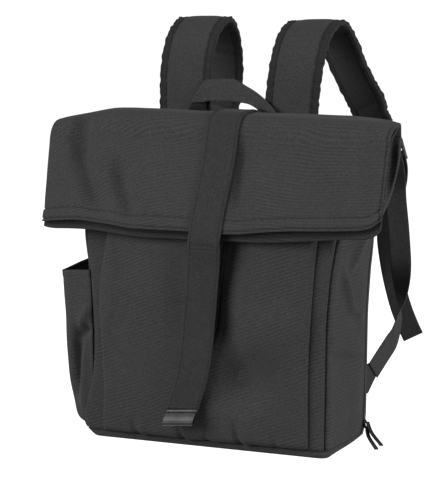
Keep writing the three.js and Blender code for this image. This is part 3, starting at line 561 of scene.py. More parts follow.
def seamRoll(p, axis=0, deep=3.0, wide=1.5):
    return -deep * np.exp(-(edgeDistance(p, axis) / wide) ** 2)


seamShare = bag["gap"] / 2 / bag["corner"]
wallHeights = np.linspace(bag["foot"] - 0.8, bag["topSeam"] - 0.1, 110)

# Front wall, seen as a strip beside the pocket

frontWall = {"flat": (0.30, 0.345), "ripple": 0.8, "rippleSize": 60}


def frontRelief(q, z, p):
    return seamRoll(p) + frontWall["ripple"] * cloud(p, frontWall["rippleSize"], 1) * (np.abs(q) < 1.4)


frontSeam = toSeam(1, 1.5 - seamShare, 11)
frontAcross = np.concatenate([-frontSeam[::-1], np.linspace(-1, 1, 64)[1:-1], frontSeam])
frontGrid = surface(bagPoint, frontAcross, wallHeights, frontRelief)
frontPiece = addSheet("front_wall", frontGrid, bag["cloth"], bodyFinish, "body_cloth", "front_panel",
                      lie=frontGrid["p"][..., [0, 2]])

# Side walls: the right one has soft dents and ends at the laptop zip

sideWalls = {
    "flatRight": (0.125, 0.34), "flatLeft": (0.145, 0.34), "ripple": 1.6, "rippleSize": 44,
    # each dent: its place, its reach both ways and its depth
    "dents": ((8, 150, 22, 34, 2), (-18, 96, 34, 9, 1.5), (20, 215, 30, 14, 2)),
    "folds": (
        {"start": (-42, 202), "end": (-8, 155), "wide": 5, "high": 6.2},
        {"start": (-12, 160), "end": (28, 142), "wide": 5, "high": 5.1},
        {"start": (-12, 245), "end": (-20, 200), "wide": 6, "high": 5.4},
        {"start": (-62, 122), "end": (34, 104), "wide": 9, "high": 2.7},
        {"start": (-66, 111), "end": (36, 94), "wide": 3.5, "high": -3.4},
        {"start": (24, 300), "end": (34, 225), "wide": 6, "high": 3.5},
        {"start": (-5.5, 342), "end": (-6.5, 282), "wide": 1.8, "high": -6.0},
        {"start": (-2.2, 340), "end": (-3, 285), "wide": 1.0, "high": 1.5},
    ),
}


def dentDepth(dents, across, along):
    return sum(d[4] * np.exp(-((across - d[0]) / d[2]) ** 2 - ((along - d[1]) / d[3]) ** 2) for d in dents)


def rightSide(u, z):
    stretch = np.where(u <= 4, u, mix(4, nearBack(bag["zipFront"] + bag["gap"], z), u - 4))
    p = bagPoint(stretch, z)
    hold = ease(1.5, 2.4, u) * (1 - ease(3.6, 4, u))
    p[..., 0] -= dentDepth(sideWalls["dents"], p[..., 1], z) * hold
    return p


def sideRelief(u, z, p):
    calm = ease(0, 9, edgeDistance(p, 0))
    folds = creases(sideWalls["folds"], p[..., 1], z)
    ripple = sideWalls["ripple"] * cloud(p * (1, 1, 0.6), sideWalls["rippleSize"], 2)
    return seamRoll(p) * np.where(np.abs(u) > 4, 0.3, 1) + calm * (folds + ripple)


sideSeam = toSeam(2, 1.5 + seamShare, 11)[::-1]
rightAcross = np.concatenate([sideSeam, between([2, 3, 4, 5], [18, 30, 14])[1:]])
rightGrid = surface(rightSide, rightAcross, wallHeights, sideRelief)
rightPiece = addSheet("side_wall_right", rightGrid, bag["cloth"], sideFinish, "body_cloth",
                      "side_panel_right", lie=rightGrid["p"][..., [1, 2]])

leftBack = between([-5.5 + seamShare, -5, -4, -3, -2], [5, 14, 26, 14])[:-1]
leftGrid = surface(bagPoint, np.concatenate([leftBack, -sideSeam[::-1]]), wallHeights, sideRelief)
leftPiece = addSheet("side_wall_left", leftGrid, bag["cloth"], sideFinish, "body_cloth", "side_panel_left",
                     lie=leftGrid["p"][..., [1, 2]])


def stripPoint(u, z):
    return bagPoint(np.where(u < 5, mix(nearBack(bag["zipBack"] - bag["gap"], z), 5, u - 4), u), z)


stripGrid = surface(stripPoint, between([4, 5, 5.5 - seamShare], [3, 6]), wallHeights,
                    lambda u, z, p: seamRoll(p, deep=0.8, wide=1.6))
addSheet("zip_strip", stripGrid, bag["cloth"], sideFinish, "body_cloth", "zip_strip_right")
print("walls made")

# Zips: a tape with two rows of coil

zips = {"pitch": 2.1, "coilHalf": 1.5, "coilHigh": 0.75, "coilLong": 0.62, "sink": 0.5, "tape": 1.0,
        "pocketTape": 0.6, "pocketHalf": 2.2}


def coilMesh(name, path, normal):
    # two rows of small rounded turns that meet on the line
    run = runAlong(path)
    points, faces = [], []
    ring = np.array([(0, 0), (0.35, 0.8), (0.75, 1), (1, 0.55), (1, -0.3), (0, -0.3)])
    for row, side in enumerate((-1, 1)):
        for at in np.arange(zips["pitch"] / 2, run[-1], zips["pitch"]) + row * zips["pitch"] / 2:
            spot, ahead, up = (np.array([np.interp(at + d, run, f[:, k]) for k in range(3)])
                               for d, f in ((0, path), (0.5, path), (0, normal)))
            way = unit(ahead - spot)
            across = np.cross(way, up) * side
            base = len(points)
            for d in (-zips["coilLong"], zips["coilLong"]):
                for out, high in ring:
                    turn = across * out * zips["coilHalf"] + up * high * zips["coilHigh"]
                    points.append(spot + way * d + turn)
            n = len(ring)
            sides = [(base + i, base + (i + 1) % n, base + n + (i + 1) % n, base + n + i) for i in range(n)]
            caps = [tuple(base + i for i in range(n))[::-1], tuple(base + n + i for i in range(n))]
            faces.extend(face[::-1] if side > 0 else face for face in [*sides, *caps])
    return meshFrom(name, np.array(points), faces)


def zipPoint(u, z):
    return bagPoint(nearBack(mix(bag["zipFront"], bag["zipBack"], u), z), z)


tapeGrid = surface(zipPoint, np.linspace(0, 1, 7), wallHeights,
                   lambda u, z, p: np.full_like(u, -zips["sink"]))
addSheet("laptop_zip_tape", tapeGrid, zips["tape"], tapeFinish, "zip_tape", "laptop_zip")
zipLine, zipUp = onSurface(tapeGrid, 0.5, np.linspace(12, 340, 160), 0.1)
addPiece("laptop_zip_coil", coilMesh("laptop_zip_coil", zipLine, zipUp), coilFinish, "zip_tape")

# Base with its turned-up edge, and the piping above it

base = {"pipeRound": 0.95, "pipeIn": 1.1, "pipeAt": 8.1, "pipeTurn": 12}
loopQ = between([-7, -6, -5, -4, -3, -2, -1, 1, 2, 3, 4, 5, 6, 7],
                [18, 8, 8, 8, 8, 8, 36, 8, 8, 8, 8, 8, 18])[:-1]


def loopAt(z, inset, height):
    ring = bagPoint(loopQ, z)
    way = unit(np.roll(ring, -1, axis=0) - np.roll(ring, 1, axis=0))
    return xyz(ring[:, 0] - way[:, 1] * inset, ring[:, 1] + way[:, 0] * inset, height)


def ringMesh(name, rings, closed):
    points = np.vstack(rings)
    n, m = len(rings), len(rings[0])
    index = np.arange(n * m).reshape(n, m)
    stacked = np.vstack([index, index[:1]]) if closed else index
    turned = np.roll(stacked, -1, axis=1)
    sides = np.stack([stacked[:-1], turned[:-1], turned[1:], stacked[1:]], axis=-1).reshape(-1, 4).tolist()
    if not closed:
        sides = [*sides, index[0, ::-1].tolist(), index[-1].tolist()]
    up = runAlong(np.array([ring[0] for ring in rings]))
    uv = np.stack(np.broadcast_arrays(runAlong(rings[0])[None], up[:, None]), axis=-1).reshape(-1, 2)
    return meshFrom(name, points, sides, uv)


baseRings = [(12, 0), (5, 0), (2.6, 0.1), (1.2, 0.5), (0.4, 1.2), (0.1, 2.2), (0, 4), (0, 6.4), (0.4, 7.1),
             (1.2, 7.3), (2, 6.4), (2, 4.4), (3, 2.8), (4.4, 2.1), (12, 2)]
baseMesh = ringMesh("base_panel", [loopAt(height, inset, height) for inset, height in baseRings], False)
addPiece("base_panel", baseMesh, bodyFinish, "body_cloth", "bottom_panel")
pipeTurns = np.arange(base["pipeTurn"]) / base["pipeTurn"] * 2 * math.pi
pipeRings = [loopAt(8, base["pipeIn"] - base["pipeRound"] * math.cos(a),
                    base["pipeAt"] + base["pipeRound"] * math.sin(a)) for a in pipeTurns]
addPiece("base_piping", ringMesh("base_piping", pipeRings, True), bindFinish, "binding", "bottom_piping")
print("zip and base made")

# Folded top: two layers of cloth that go over the fold and hang down in front

flap = {
    "half": 200, "axisY": -36, "axisZ": 345, "seamHalf": 2.4, "leftDroop": 9, "rightDroop": 8, "endDip": 5,
    "flatOuter": (0.40, 0.21), "flatInner": (0.40, 0.155), "outerLong": 188, "outerRise": 10, "outerCut": 19,
    "outerRound": 176, "innerLong": 193, "innerRise": 8, "innerCuts": (3, 14), "innerRound": 179,
    "narrowLeft": 0.045, "narrowEars": 0.018, "hemBand": 15, "hemRise": 0.8, "hemRows": (2.6, 14.5),
    "hemDeep": 1.7, "hemWide": 1.1, "innerHem": 5, "ripple": 1.1, "rippleSize": 55, "pucker": 0.6,
    "puckerStep": 9, "sideBand": 4.4, "strapX": 11, "stitch": 1.9,
    "dents": ((-165, 72, 9, 22, 3), (-132, 150, 26, 30, 3), (-75, 120, 22, 40, 2), (52, 120, 9, 60, 3),
              (120, 135, 40, 30, 2)),
    "folds": (
        {"start": (-160, 48), "end": (-156, 112), "wide": 11, "high": -8.8},
        {"start": (-158, 96), "end": (-126, 176), "wide": 13, "high": -8.1},
        {"start": (-140, 92), "end": (-116, 150), "wide": 12, "high": 4.9},
        {"start": (-112, 112), "end": (-82, 182), "wide": 12, "high": -8.1},
        {"start": (-96, 100), "end": (-58, 172), "wide": 12, "high": 4.5},
        {"start": (-60, 70), "end": (-24, 120), "wide": 10, "high": -3.2},
        {"start": (38, 70), "end": (40, 176), "wide": 7, "high": -6.8},
        {"start": (58, 70), "end": (60, 170), "wide": 10, "high": 6.1},
        {"start": (104, 88), "end": (150, 160), "wide": 14, "high": -3.6},
        {"start": (172, 66), "end": (180, 160), "wide": 8, "high": -3.2},
    ),
}
# the weave rises to the right
flapLines = {"x": (-200, -110, -50, 20, 150, 200), "pull": (-66, -28, -10, 0, -3, 0)}
foldShape = {
    "s": (0, 12, 24, 36, 48, 60, 72, 84, 140, 200),
    "turn": (0, 22, 45, 68, 92, 116, 140, 159, 159, 159),
    "slide": (0, 0, 0, 0, 0, 0.5, 4, 14, 70, 130),
    "inner": (10, 9.5, 9, 9, 9, 9, 9, 9, 8.5, 8),
    "outer": (63, 52, 38, 28.8, 26, 25, 24, 23.2, 22, 21),
    "ear": (36, 33, 27, 22, 19, 17.5, 16.5, 16, 15, 14),
}


def foldPoint(x, s, outside):
    turn = np.radians(through(foldShape, "s", "turn", s))
    slide = through(foldShape, "s", "slide", s)
    flat = ease(0, 60, s)
    start = mix(146, 128, flat)
    full = 1 - np.clip((np.abs(x) - start) / (flap["half"] - start), 0, 1)
    shape = mix(full, np.sqrt(np.maximum(0, 1 - (1 - full) ** 2)), flat)
    edge = through(foldShape, "s", "ear", s) + (flap["seamHalf"] if outside else -flap["seamHalf"])
    n = mix(edge, through(foldShape, "s", "outer" if outside else "inner", s), shape)
    if outside:
        n = n - dentDepth(flap["dents"], x, s)
    low = ease(90, 180, s)
    left = flap["leftDroop"] * ease(-125, -200, x) * (1 - 0.6 * low)
    right = flap["rightDroop"] * np.clip((x + 110) / 310, 0, 1) * (1 - low)
    droop = (left + right) * ease(0, 40, s) + flap["endDip"] * ease(178, 200, x) * hump(s, 48, 26) * flat
    y = flap["axisY"] + n * np.cos(turn) - slide * np.sin(turn)
    z = flap["axisZ"] + n * np.sin(turn) + slide * np.cos(turn) - droop
    ears = flap["narrowEars"] * (1 - ease(0, 34, s)) * ease(140, 200, np.abs(x))
    narrow = np.where(x < 0, flap["narrowLeft"] * ease(60, 190, s), 0) + ears
    return xyz(x * (1 - narrow), y, z)


def roundEnd(x, start):
    return 1 - np.sqrt(1 - np.clip((x - start) / (flap["half"] - start), 0, 0.99) ** 2)


def outerEnd(x):
    hem = flap["outerLong"] - flap["outerRise"] * ease(20, 190, np.abs(x + 5)) + 0.8 * np.sin(x / 19)
    return hem - flap["outerCut"] * roundEnd(x, flap["outerRound"])


def innerEnd(x):
    cut = np.where(x > 0, flap["innerCuts"][1], flap["innerCuts"][0])
    hem = flap["innerLong"] - flap["innerRise"] * ease(60, 180, np.abs(x))
    return hem - cut * roundEnd(np.abs(x), flap["innerRound"])


def outerLayer(u, v):
    return foldPoint(-u, v * outerEnd(-u), True)


def innerLayer(u, v):
    return foldPoint(u, v * innerEnd(u), False)


def outerRelief(u, v, p):
    x = -u
    toHem = (1 - v) * outerEnd(x)
    s = v * outerEnd(x)
    calm = ease(0, 25, s) * (1 - hump(x, flap["strapX"], 24)) * ease(0, 12, edgeDistance(p, 0))
    soft = flap["ripple"] * cloud(p * (1, 1, 1.6), flap["rippleSize"], 3) + creases(flap["folds"], x, s)
    band = flap["hemRise"] * (1 - ease(flap["hemBand"] - 1, flap["hemBand"] + 1.5, toHem))
    sewn = sum(-flap["hemDeep"] * hump(toHem, row, flap["hemWide"]) for row in flap["hemRows"])
    gather = flap["pucker"] * np.sin(x / flap["puckerStep"] * 2 * math.pi + 2 * cloud(p, 40, 4))
    gather = gather * hump(toHem, flap["hemBand"] + 2, 7)
    toSide = edgeDistance(p, 0)
    sideWelt = 1.1 * hump(toSide, 1.6, 1.5) - 1.3 * hump(toSide, flap["sideBand"], 1.2)
    hemmed = (band + sewn + gather) * (1 - hump(x, flap["strapX"], 20))
    return calm * soft + hemmed + sideWelt * ease(20, 60, s) * (x > 0)


flapAcross = between([-199.6, -188, -150, 150, 188, 199.6], [14, 16, 96, 16, 14])
outerGrid = surface(outerLayer, flapAcross, between([0.0005, 0.45, 0.9, 1], [34, 28, 26]), outerRelief)
flapAlong = outerGrid["vs"] * outerEnd(-outerGrid["us"])[:, None]
flapPull = through(flapLines, "x", "pull", -outerGrid["us"])[:, None]
outerLie = np.stack([outerGrid["p"][..., 0], flapAlong + flapPull], axis=-1)
outerPiece = addSheet("flap_outer", outerGrid, bag["cloth"], flapFinish, "body_cloth", "roll_top_outer",
                      lie=outerLie)


def innerRelief(u, v, p):
    toHem = (1 - v) * innerEnd(u)
    soft = 0.5 * cloud(p, 50, 5) * ease(0, 0.3, v)
    return soft * ease(0, 10, edgeDistance(p, 0)) + 0.35 * hump(toHem, flap["innerHem"], 1.4)


innerGrid = surface(innerLayer, flapAcross, between([0.0005, 0.45, 0.9, 1], [26, 20, 14]), innerRelief)
innerPiece = addSheet("flap_inner", innerGrid, bag["cloth"], innerShadeFinish, "body_cloth", "roll_top_inner")

hemPath = np.linspace(-188, 196, 240)
flapRows = [onSurface(outerGrid, hemPath, 1 - row / outerEnd(-hemPath), thread["lift"])
            for row in flap["hemRows"]]
hemLine, hemNormal = onSurface(innerGrid, -hemPath, 1 - flap["innerHem"] / innerEnd(-hemPath),
                               -bag["cloth"] - thread["lift"])
flapRows.append((hemLine, -hemNormal))
stitchPiece("flap_stitches", flapRows, darkThreadFinish, long=flap["stitch"])
print("folded top made")

# Front pocket: a bellows pocket with rounded edges, a dome and the slit of its zip

pocket = {
    "flat": (0.27, 0.255), "half": 124, "low": 9.4, "high": 246, "edge": 6, "edgeShare": 0.06, "wall": 7.2,
    "dome": 9, "ripple": 1.0, "rippleSize": 60, "valleyDeep": 6, "valleyWide": 17, "slitX": 11.5,
    "slitLean": 0.096, "slitFoot": 128, "slitTop": 230, "slitDeep": 4.5, "slitWide": 2.8,
    "slitSpan": (4, 36), "hollow": 4.0, "hollowAt": 2, "hollowWide": 20,
    "folds": (
        {"start": (-112, 225), "end": (-116, 110), "wide": 7, "high": 2.2},
        {"start": (22, 156), "end": (54, 54), "wide": 20, "high": -12.2},
        {"start": (-20, 230), "end": (-22, 120), "wide": 18, "high": -5.4},
        {"start": (22, 116), "end": (112, 148), "wide": 30, "high": 7.0},
        {"start": (14, 66), "end": (84, 88), "wide": 26, "high": -7.0},
        {"start": (-78, 2), "end": (-88, 30), "wide": 3, "high": -2.6},
        {"start": (-72, 2), "end": (-76, 26), "wide": 4, "high": 1.4},
        {"start": (-24, 2), "end": (-33, 40), "wide": 3, "high": -3.2},
        {"start": (-17, 2), "end": (-24, 34), "wide": 4, "high": 1.8},
        {"start": (4, 2), "end": (0, 24), "wide": 2.6, "high": -2.2},
        {"start": (44, 2), "end": (35, 36), "wide": 3, "high": -3.2},
        {"start": (51, 2), "end": (45, 30), "wide": 4, "high": 1.8},
        {"start": (86, 2), "end": (79, 24), "wide": 3, "high": -2.0},
    ),
}
pocketEdge = {  # how far each side edge stands outside its straight line
    "z": (0, 20, 60, 90, 120, 150, 175, 205, 235, 250),
    "left": (1, 1, 0.5, 2, 4, 6, 5.5, 1, -4, -5),
    "right": (-6, -6, -6.5, -6.5, -6, -4.5, -3, -1, 1.5, 2),
}


def rounded(w, length, edge, share):
    near = np.minimum(w, 1 - w)
    flat = edge + (w - share) / (1 - 2 * share) * (length - 2 * edge)
    turn = np.clip(near / share, 0, 1) * math.pi / 2
    inset = edge * (1 - np.cos(turn))
    bend = np.where(w < 0.5, inset, length - inset)
    return np.where(near > share, flat, bend), np.where(near > share, 1, np.sin(turn))


def slitAt(z):
    return pocket["slitX"] + pocket["slitLean"] * (z - pocket["slitFoot"])


def pocketPoint(u, v):
    tall = pocket["high"] - pocket["low"]
    x, riseX = rounded(u, 2 * pocket["half"], pocket["edge"], pocket["edgeShare"])
    z, riseZ = rounded(v, tall, pocket["edge"], pocket["edgeShare"])
    x, z = x - pocket["half"], z + pocket["low"]
    arch = np.sin(math.pi * np.clip((z - pocket["low"] + 8) / (tall + 18), 0, 1)) ** 0.6
    dome = pocket["dome"] * (1 - (x / pocket["half"]) ** 2) * arch
    valley = pocket["valleyDeep"] * hump(x, slitAt(z), pocket["valleyWide"]) * ease(100, 190, z)
    wall = through(bagShape, "z", "front", z)
    stand = 0.5 + 1.4 * ease(200, 236, z)
    share = np.abs(x) / pocket["half"]
    left, right = (through(pocketEdge, "z", name, z) for name in ("left", "right"))
    wider = np.where(x < 0, -left, right) * share ** 3
    return xyz(x + wider, wall - stand - riseX * riseZ * (pocket["wall"] + dome - valley), z)


def pocketAcross(x):
    flat = (x + pocket["half"] - pocket["edge"]) / (2 * pocket["half"] - 2 * pocket["edge"])
    return pocket["edgeShare"] + flat * (1 - 2 * pocket["edgeShare"])


def pocketUp(z):
    tall = pocket["high"] - pocket["low"]
    flat = (z - pocket["low"] - pocket["edge"]) / (tall - 2 * pocket["edge"])
    return pocket["edgeShare"] + flat * (1 - 2 * pocket["edgeShare"])


def pocketRelief(u, v, p):
    x, z = p[..., 0], p[..., 2]
    calm = ease(0, 12, edgeDistance(p, 0)) * ease(0, 4, edgeDistance(p, 1))
    ripple = pocket["ripple"] * cloud(p * (1, 1, 0.7), pocket["rippleSize"], 6)
    slit = ease(pocket["slitFoot"] - 22, pocket["slitFoot"] + 14, z)
    off = x - slitAt(z)
    groove = -pocket["slitDeep"] * hump(off, 0, pocket["slitWide"])
    hollow = -pocket["hollow"] * hump(off, pocket["hollowAt"], pocket["hollowWide"])
    return calm * (ripple + creases(pocket["folds"], x, z)) + slit * (groove + hollow)


share = pocket["edgeShare"]
slitSpan = [pocketAcross(x) for x in pocket["slitSpan"]]
pocketGrid = surface(pocketPoint, between([0, share, *slitSpan, 1 - share, 1], [9, 44, 44, 34, 9]),
                     between([0, share, 1 - share, 1], [9, 80, 9]), pocketRelief)
pocketPiece = addSheet("pocket_front", pocketGrid, bag["cloth"], bodyFinish, "body_cloth", "front_pocket",
                       lie=pocketGrid["p"][..., [0, 2]])


def alongSlit(off, z):
    return onSurface(pocketGrid, pocketAcross(slitAt(z) + off), pocketUp(z), 0.9)


slitHeights = np.linspace(pocket["slitFoot"], pocket["slitTop"], 120)
slitAcross = np.linspace(-1, 1, 5) * zips["pocketHalf"]
frontTape = surface(lambda off, z: alongSlit(off, z)[0], slitAcross, slitHeights)
addSheet("pocket_zip_tape", frontTape, zips["pocketTape"], tapeFinish, "zip_tape", "front_zip")
slitLine, slitUp = onSurface(frontTape, 0, slitHeights, 0.1)
addPiece("pocket_zip_coil", coilMesh("pocket_zip_coil", slitLine, slitUp), coilFinish, "zip_tape")

# Bottle pocket on the left side, open at its rim

bottle = {
    "flat": (0.165, 0.18), "foot": 13, "hug": 2.9, "tuck": 3.5, "hemAt": 9, "hemRise": 0.5, "hemDeep": 0.4,
    "tall": 185, "ripple": 1.4, "rippleSize": 42,
    "folds": (
        {"start": (-147, 146), "end": (-160, 122), "wide": 6, "high": 5.4},
        {"start": (-148, 126), "end": (-163, 108), "wide": 6, "high": -9.5},
        {"start": (-165, 120), "end": (-169, 36), "wide": 7, "high": -12.0},
        {"start": (-154, 104), "end": (-153, 14), "wide": 6, "high": 5.0},
    ),
}
bottleShape = {"v": (0, 0.06, 0.12, 0.3, 0.55, 0.8, 1), "out": (0.5, 17, 26, 34, 37.5, 39.5, 40),
               "rise": (0, 0.004, 0.03, 0.22, 0.5, 0.8, 1)}
bottleRim = {"u": (0, 0.2, 0.35, 0.65, 1), "y": (-62, -56, -44, 0, 58), "swell": (0, 0.75, 1, 0.66, 0),
             "top": (190, 187, 186, 195, 202)}


def bottlePoint(u, v):
    y, swell, top = (through(bottleRim, "u", name, 1 - u) for name in ("y", "swell", "top"))
    z = mix(bottle["foot"], top, through(bottleShape, "v", "rise", v))
    wall = through(bagShape, "z", "side", z) - 3 * (y / 68) ** 2
    tuck = bottle["tuck"] * (1 - ease(0, 0.14, 1 - u))
    return xyz(-(wall + bottle["hug"] - tuck + swell * through(bottleShape, "v", "out", v)), y - tuck, z)


def bottleRelief(u, v, p):
    fade = ease(0, 5, edgeDistance(p, 0)) * ease(0.03, 0.14, v)
    ripple = bottle["ripple"] * cloud(p, bottle["rippleSize"], 7)
    soft = ripple + creases(bottle["folds"], p[..., 0], p[..., 2])
    up = lengthsAlong(p, 1)
    toRim = up.take([-1], axis=1) - up
    band = bottle["hemRise"] * (1 - ease(bottle["hemAt"] - 1, bottle["hemAt"] + 1, toRim))
    sewn = bottle["hemDeep"] * hump(toRim, bottle["hemAt"], 1.4)
    return fade * soft * (1 - 0.6 * ease(0.7, 1, v)) + band - sewn


bottleGrid = surface(bottlePoint, np.linspace(0, 1, 72), between([0, 0.12, 1], [12, 66]), bottleRelief)
bottlePiece = addSheet("bottle_pocket", bottleGrid, bag["cloth"], sideFinish, "body_cloth",
                       "side_pocket_left")
rimPath = np.linspace(0.01, 0.99, 120)
rimRow = onSurface(bottleGrid, rimPath, 1 - bottle["hemAt"] / bottle["tall"], thread["lift"])
stitchPiece("bottle_pocket_stitches", [rimRow], threadFinish)
print("pockets made")

# Closing strap: laid on the fold, then hanging free to its hook

strap = {"wide": 37, "thick": 2, "lift": 0.6, "x": 13.5, "drift": 4, "stitchIn": 2.6, "laidEnd": 0.985,
         "columns": 15, "selvedge": 0.25, "crossRows": (96, 100), "stitch": 2.7}
strapHang = [(8.6, -101.4, 233), (7.4, -98, 222), (5.4, -94, 203), (2, -91.5, 170), (-1.2, -91, 135),
             (-4.8, -91, 102), (-10.4, -91, 74), (-16, -91, 57), (-19.9, -91, 44.5)]


def strapGrid():
    laidV = np.linspace(0.05, strap["laidEnd"], 90)
    offs = np.linspace(1, -1, strap["columns"]) * strap["wide"] / 2
    off, v = np.meshgrid(offs, laidV, indexing="ij")
    x = strap["x"] - strap["drift"] * ease(0.5, 1, v) + off
    lift = strap["lift"] + strap["thick"]
    step = (0.2, 0.003)
    du = outerLayer(-x + step[0], v) - outerLayer(-x - step[0], v)
    dv = outerLayer(-x, v + step[1]) - outerLayer(-x, v - step[1])
    laid = outerLayer(-x, v) + unit(np.cross(du, dv)) * lift
    free = curveThrough(strapHang, 10)
    tangent = np.gradient(free, axis=0)
    out = -unit(np.cross(np.array([1.0, 0, 0]), tangent))
    hang = free[None] + out[None] * strap["thick"] / 2 + offs[:, None, None] * np.array([1.0, 0, 0])
    p = np.concatenate([laid, hang], axis=1)
    selvedge = strap["selvedge"] * hump(np.abs(offs), strap["wide"] / 2 - 1.5, 1.5)
    n = gridNormals(p)
    p = p + n * selvedge[:, None, None]
    return {"us": np.arange(len(offs)), "vs": np.arange(p.shape[1]), "p": p, "n": gridNormals(p)}


strapCloth = strapGrid()
addSheet("closing_strap", strapCloth, strap["thick"], webFinish, "webbing", "closure_strap")
lastRow = len(strapCloth["vs"]) - 1
nearEdge = strap["stitchIn"] / strap["wide"] * (strap["columns"] - 1)
farEdge = strap["columns"] - 1 - nearEdge
lengthPath = np.linspace(2, lastRow, 400)
edgeRows = [onSurface(strapCloth, u, lengthPath, thread["lift"]) for u in (nearEdge, farEdge)]
stitchPiece("closing_strap_edge_stitches", edgeRows, darkThreadFinish, long=strap["stitch"])
crossPath = np.linspace(nearEdge, farEdge, 40)
crossRows = [onSurface(strapCloth, crossPath, row, thread["lift"])
             for row in (*strap["crossRows"], lastRow - 3)]
stitchPiece("closing_strap_stitches", crossRows, threadFinish)

# Hook: sheet metal folded over at its top and round at its foot, with a row of crimp dots

hook = {"wide": 36, "tall": 14.6, "sheet": 1.2, "bend": 2.8, "reach": 4.2, "x": -18.4, "y": -93.1, "z": 46.6,
        "lean": 0.088, "slide": 0.205, "footTurn": (160, 380), "backIn": 1.6, "backTop": 5.5, "full": 0.9,
        "dotAt": 3.0, "dotStep": 1.9, "dotDeep": 0.5, "dotRows": 40}


def hookProfile():
    # forward and downward distances, from the folded top over the plate and round the foot to the back
    turn = np.radians(np.linspace(*hook["footTurn"], 30))
    foot = hook["bend"] * np.stack([np.cos(turn), -np.sin(turn)], axis=-1) + (-hook["reach"], hook["tall"])
    top = np.array([(0.9, 1.4), (0.75, 0.5), (0.3, 0), (-0.2, 0.25), (-0.5, 1.0)])
    down = np.linspace(0, 1, 34)[1:-1, None]
    plate = mix(top[-1], foot[0], down) - (hook["full"], 0) * np.sin(math.pi * down ** 1.6)
    back = mix(foot[-1], np.array([hook["backIn"], hook["backTop"]]), np.linspace(0, 1, 12)[1:, None])
    return np.vstack([top, plate, foot, back])


hookLine = hookProfile()


def hookPoint(half, k):
    forward, down = (np.interp(k, np.arange(len(hookLine)), hookLine[:, c]) for c in (0, 1))
    x = hook["x"] - half * math.cos(hook["lean"]) - down * math.sin(hook["slide"])
    z = hook["z"] - half * math.sin(hook["lean"]) - down * math.cos(hook["slide"])
    return xyz(x, hook["y"] + forward, z)


def hookRelief(half, k, p):
    down = np.interp(k, np.arange(len(hookLine)), hookLine[:, 1])
    row = hump(down, hook["dotAt"], 0.6) * (k < hook["dotRows"])
    dots = 0.5 + 0.5 * np.cos(half / hook["dotStep"] * 2 * math.pi)
    return hook["sheet"] / 2 - hook["dotDeep"] * dots * row


hookAcross = np.linspace(-1, 1, 121) * hook["wide"] / 2
hookGrid = surface(hookPoint, hookAcross, np.arange(len(hookLine)), hookRelief)
addSheet("strap_hook_plate", hookGrid, hook["sheet"], metalFinish, "hook_metal", "strap_hook")

# Top handle: a bent band of webbing sewn down at both feet

handle = {"thick": 1.6, "lean": 8, "legEnd": 2.05, "legBack": 4, "farLegShade": 5.9, "farSlope": 0.8, "cells": 10,
          "selvedge": 0.2, "stitchRows": (0.1, 0.9)}
handleShape = {
    "i": range(9),
    "inX": (-44, -43.5, -43, -40, -14, 8, 20, 27, 29),
    "inZ": (347, 366, 378.5, 380.5, 380.5, 378.5, 372, 361, 347),
    "outX": (-67, -66.5, -62, -43, -14, 8, 32, 47, 52),
    "outZ": (347, 366, 377, 405, 406, 396.5, 380, 365, 347),
    "y": (30, 29, 26.5, 24.5, 24, 26, 29, 31.5, 31.5),
}


def handlePoint(i, across):
    x, z = (mix(through(handleShape, "i", "in" + k, i), through(handleShape, "i", "out" + k, i), across)
            for k in "XZ")
    lean = handle["lean"] * across * ease(1.6, 2.6, i) * (1 - 2.2 * ease(5.2, 7.2, i))
    back = handle["legBack"] * (1 - ease(1.9, 2.2, i))
    return xyz(x, through(handleShape, "i", "y", i) - handle["thick"] / 2 + lean + back, z)


handleAlong = between([0, 1.8, 2.3, 8], [16, 14, 84])
handleGrid = surface(handlePoint, handleAlong, np.linspace(0, 1, handle["cells"] + 1),
                     lambda i, across, p: handle["selvedge"] * hump(np.abs(across - 0.5), 0.44, 0.05))
handlePiece = addSheet("handle_band", handleGrid, handle["thick"], handleFinish, "webbing", "top_handle")
handlePiece.data.materials.append(tapeFinish)
# both legs get the dark zip-tape finish: painted shade for the shaded underside of the band where it folds
# and twists
shadedLegRows = int(np.searchsorted(handleAlong, handle["legEnd"])) - 1
for face in handlePiece.data.polygons[:shadedLegRows * handle["cells"]]:
    face.material_index = 1
cellShare = np.arange(handle["cells"]) / handle["cells"]
farLegShade = cellShare < handle["farSlope"] * (handleAlong[:-1, None] - handle["farLegShade"])
for index in np.flatnonzero(farLegShade).tolist():
    handlePiece.data.polygons[index].material_index = 1
handleRun = np.linspace(2.3, 7.9, 160)
handleRows = [onSurface(handleGrid, handleRun, across, thread["lift"]) for across in handle["stitchRows"]]
stitchPiece("handle_stitches", handleRows, threadFinish)
print("closing strap and handle made")

# Shoulder straps: both rise through the same depths and heights, and differ from the top on

pad = {"half": 25, "thick": 4.2, "swell": 3.0, "pressure": 4.0, "frames": 20, "fill": 0.7, "edge": 0.5,
       "across": 19, "parts": 9, "bindWide": 8.6, "bindThick": 3.3, "bindOut": 31.3, "seamAt": 374,
       "seamDeep": 0.6, "seamWide": 2.5, "wrinkle": 0.16, "wrinkleAt": 444, "wrinkleWide": 16,
       "wrinkleStep": 1.9, "pucker": 0.55, "puckerBeats": (0.95, 1.7), "stitchIn": 2.4}
padCloth = {"quality": 6, "mass": 0.3, "tension": 12, "shear": 5, "bending": 0.5}
# depth, height and share of the full thickness
riseRows = [(38.2, 320, 0.35), (34.7, 332, 0.45), (35.5, 346, 0.5), (37.7, 362, 0.9), (38, 384, 1),
            (38, 407, 1), (41, 431, 1), (53, 452, 1), (71, 465, 1)]
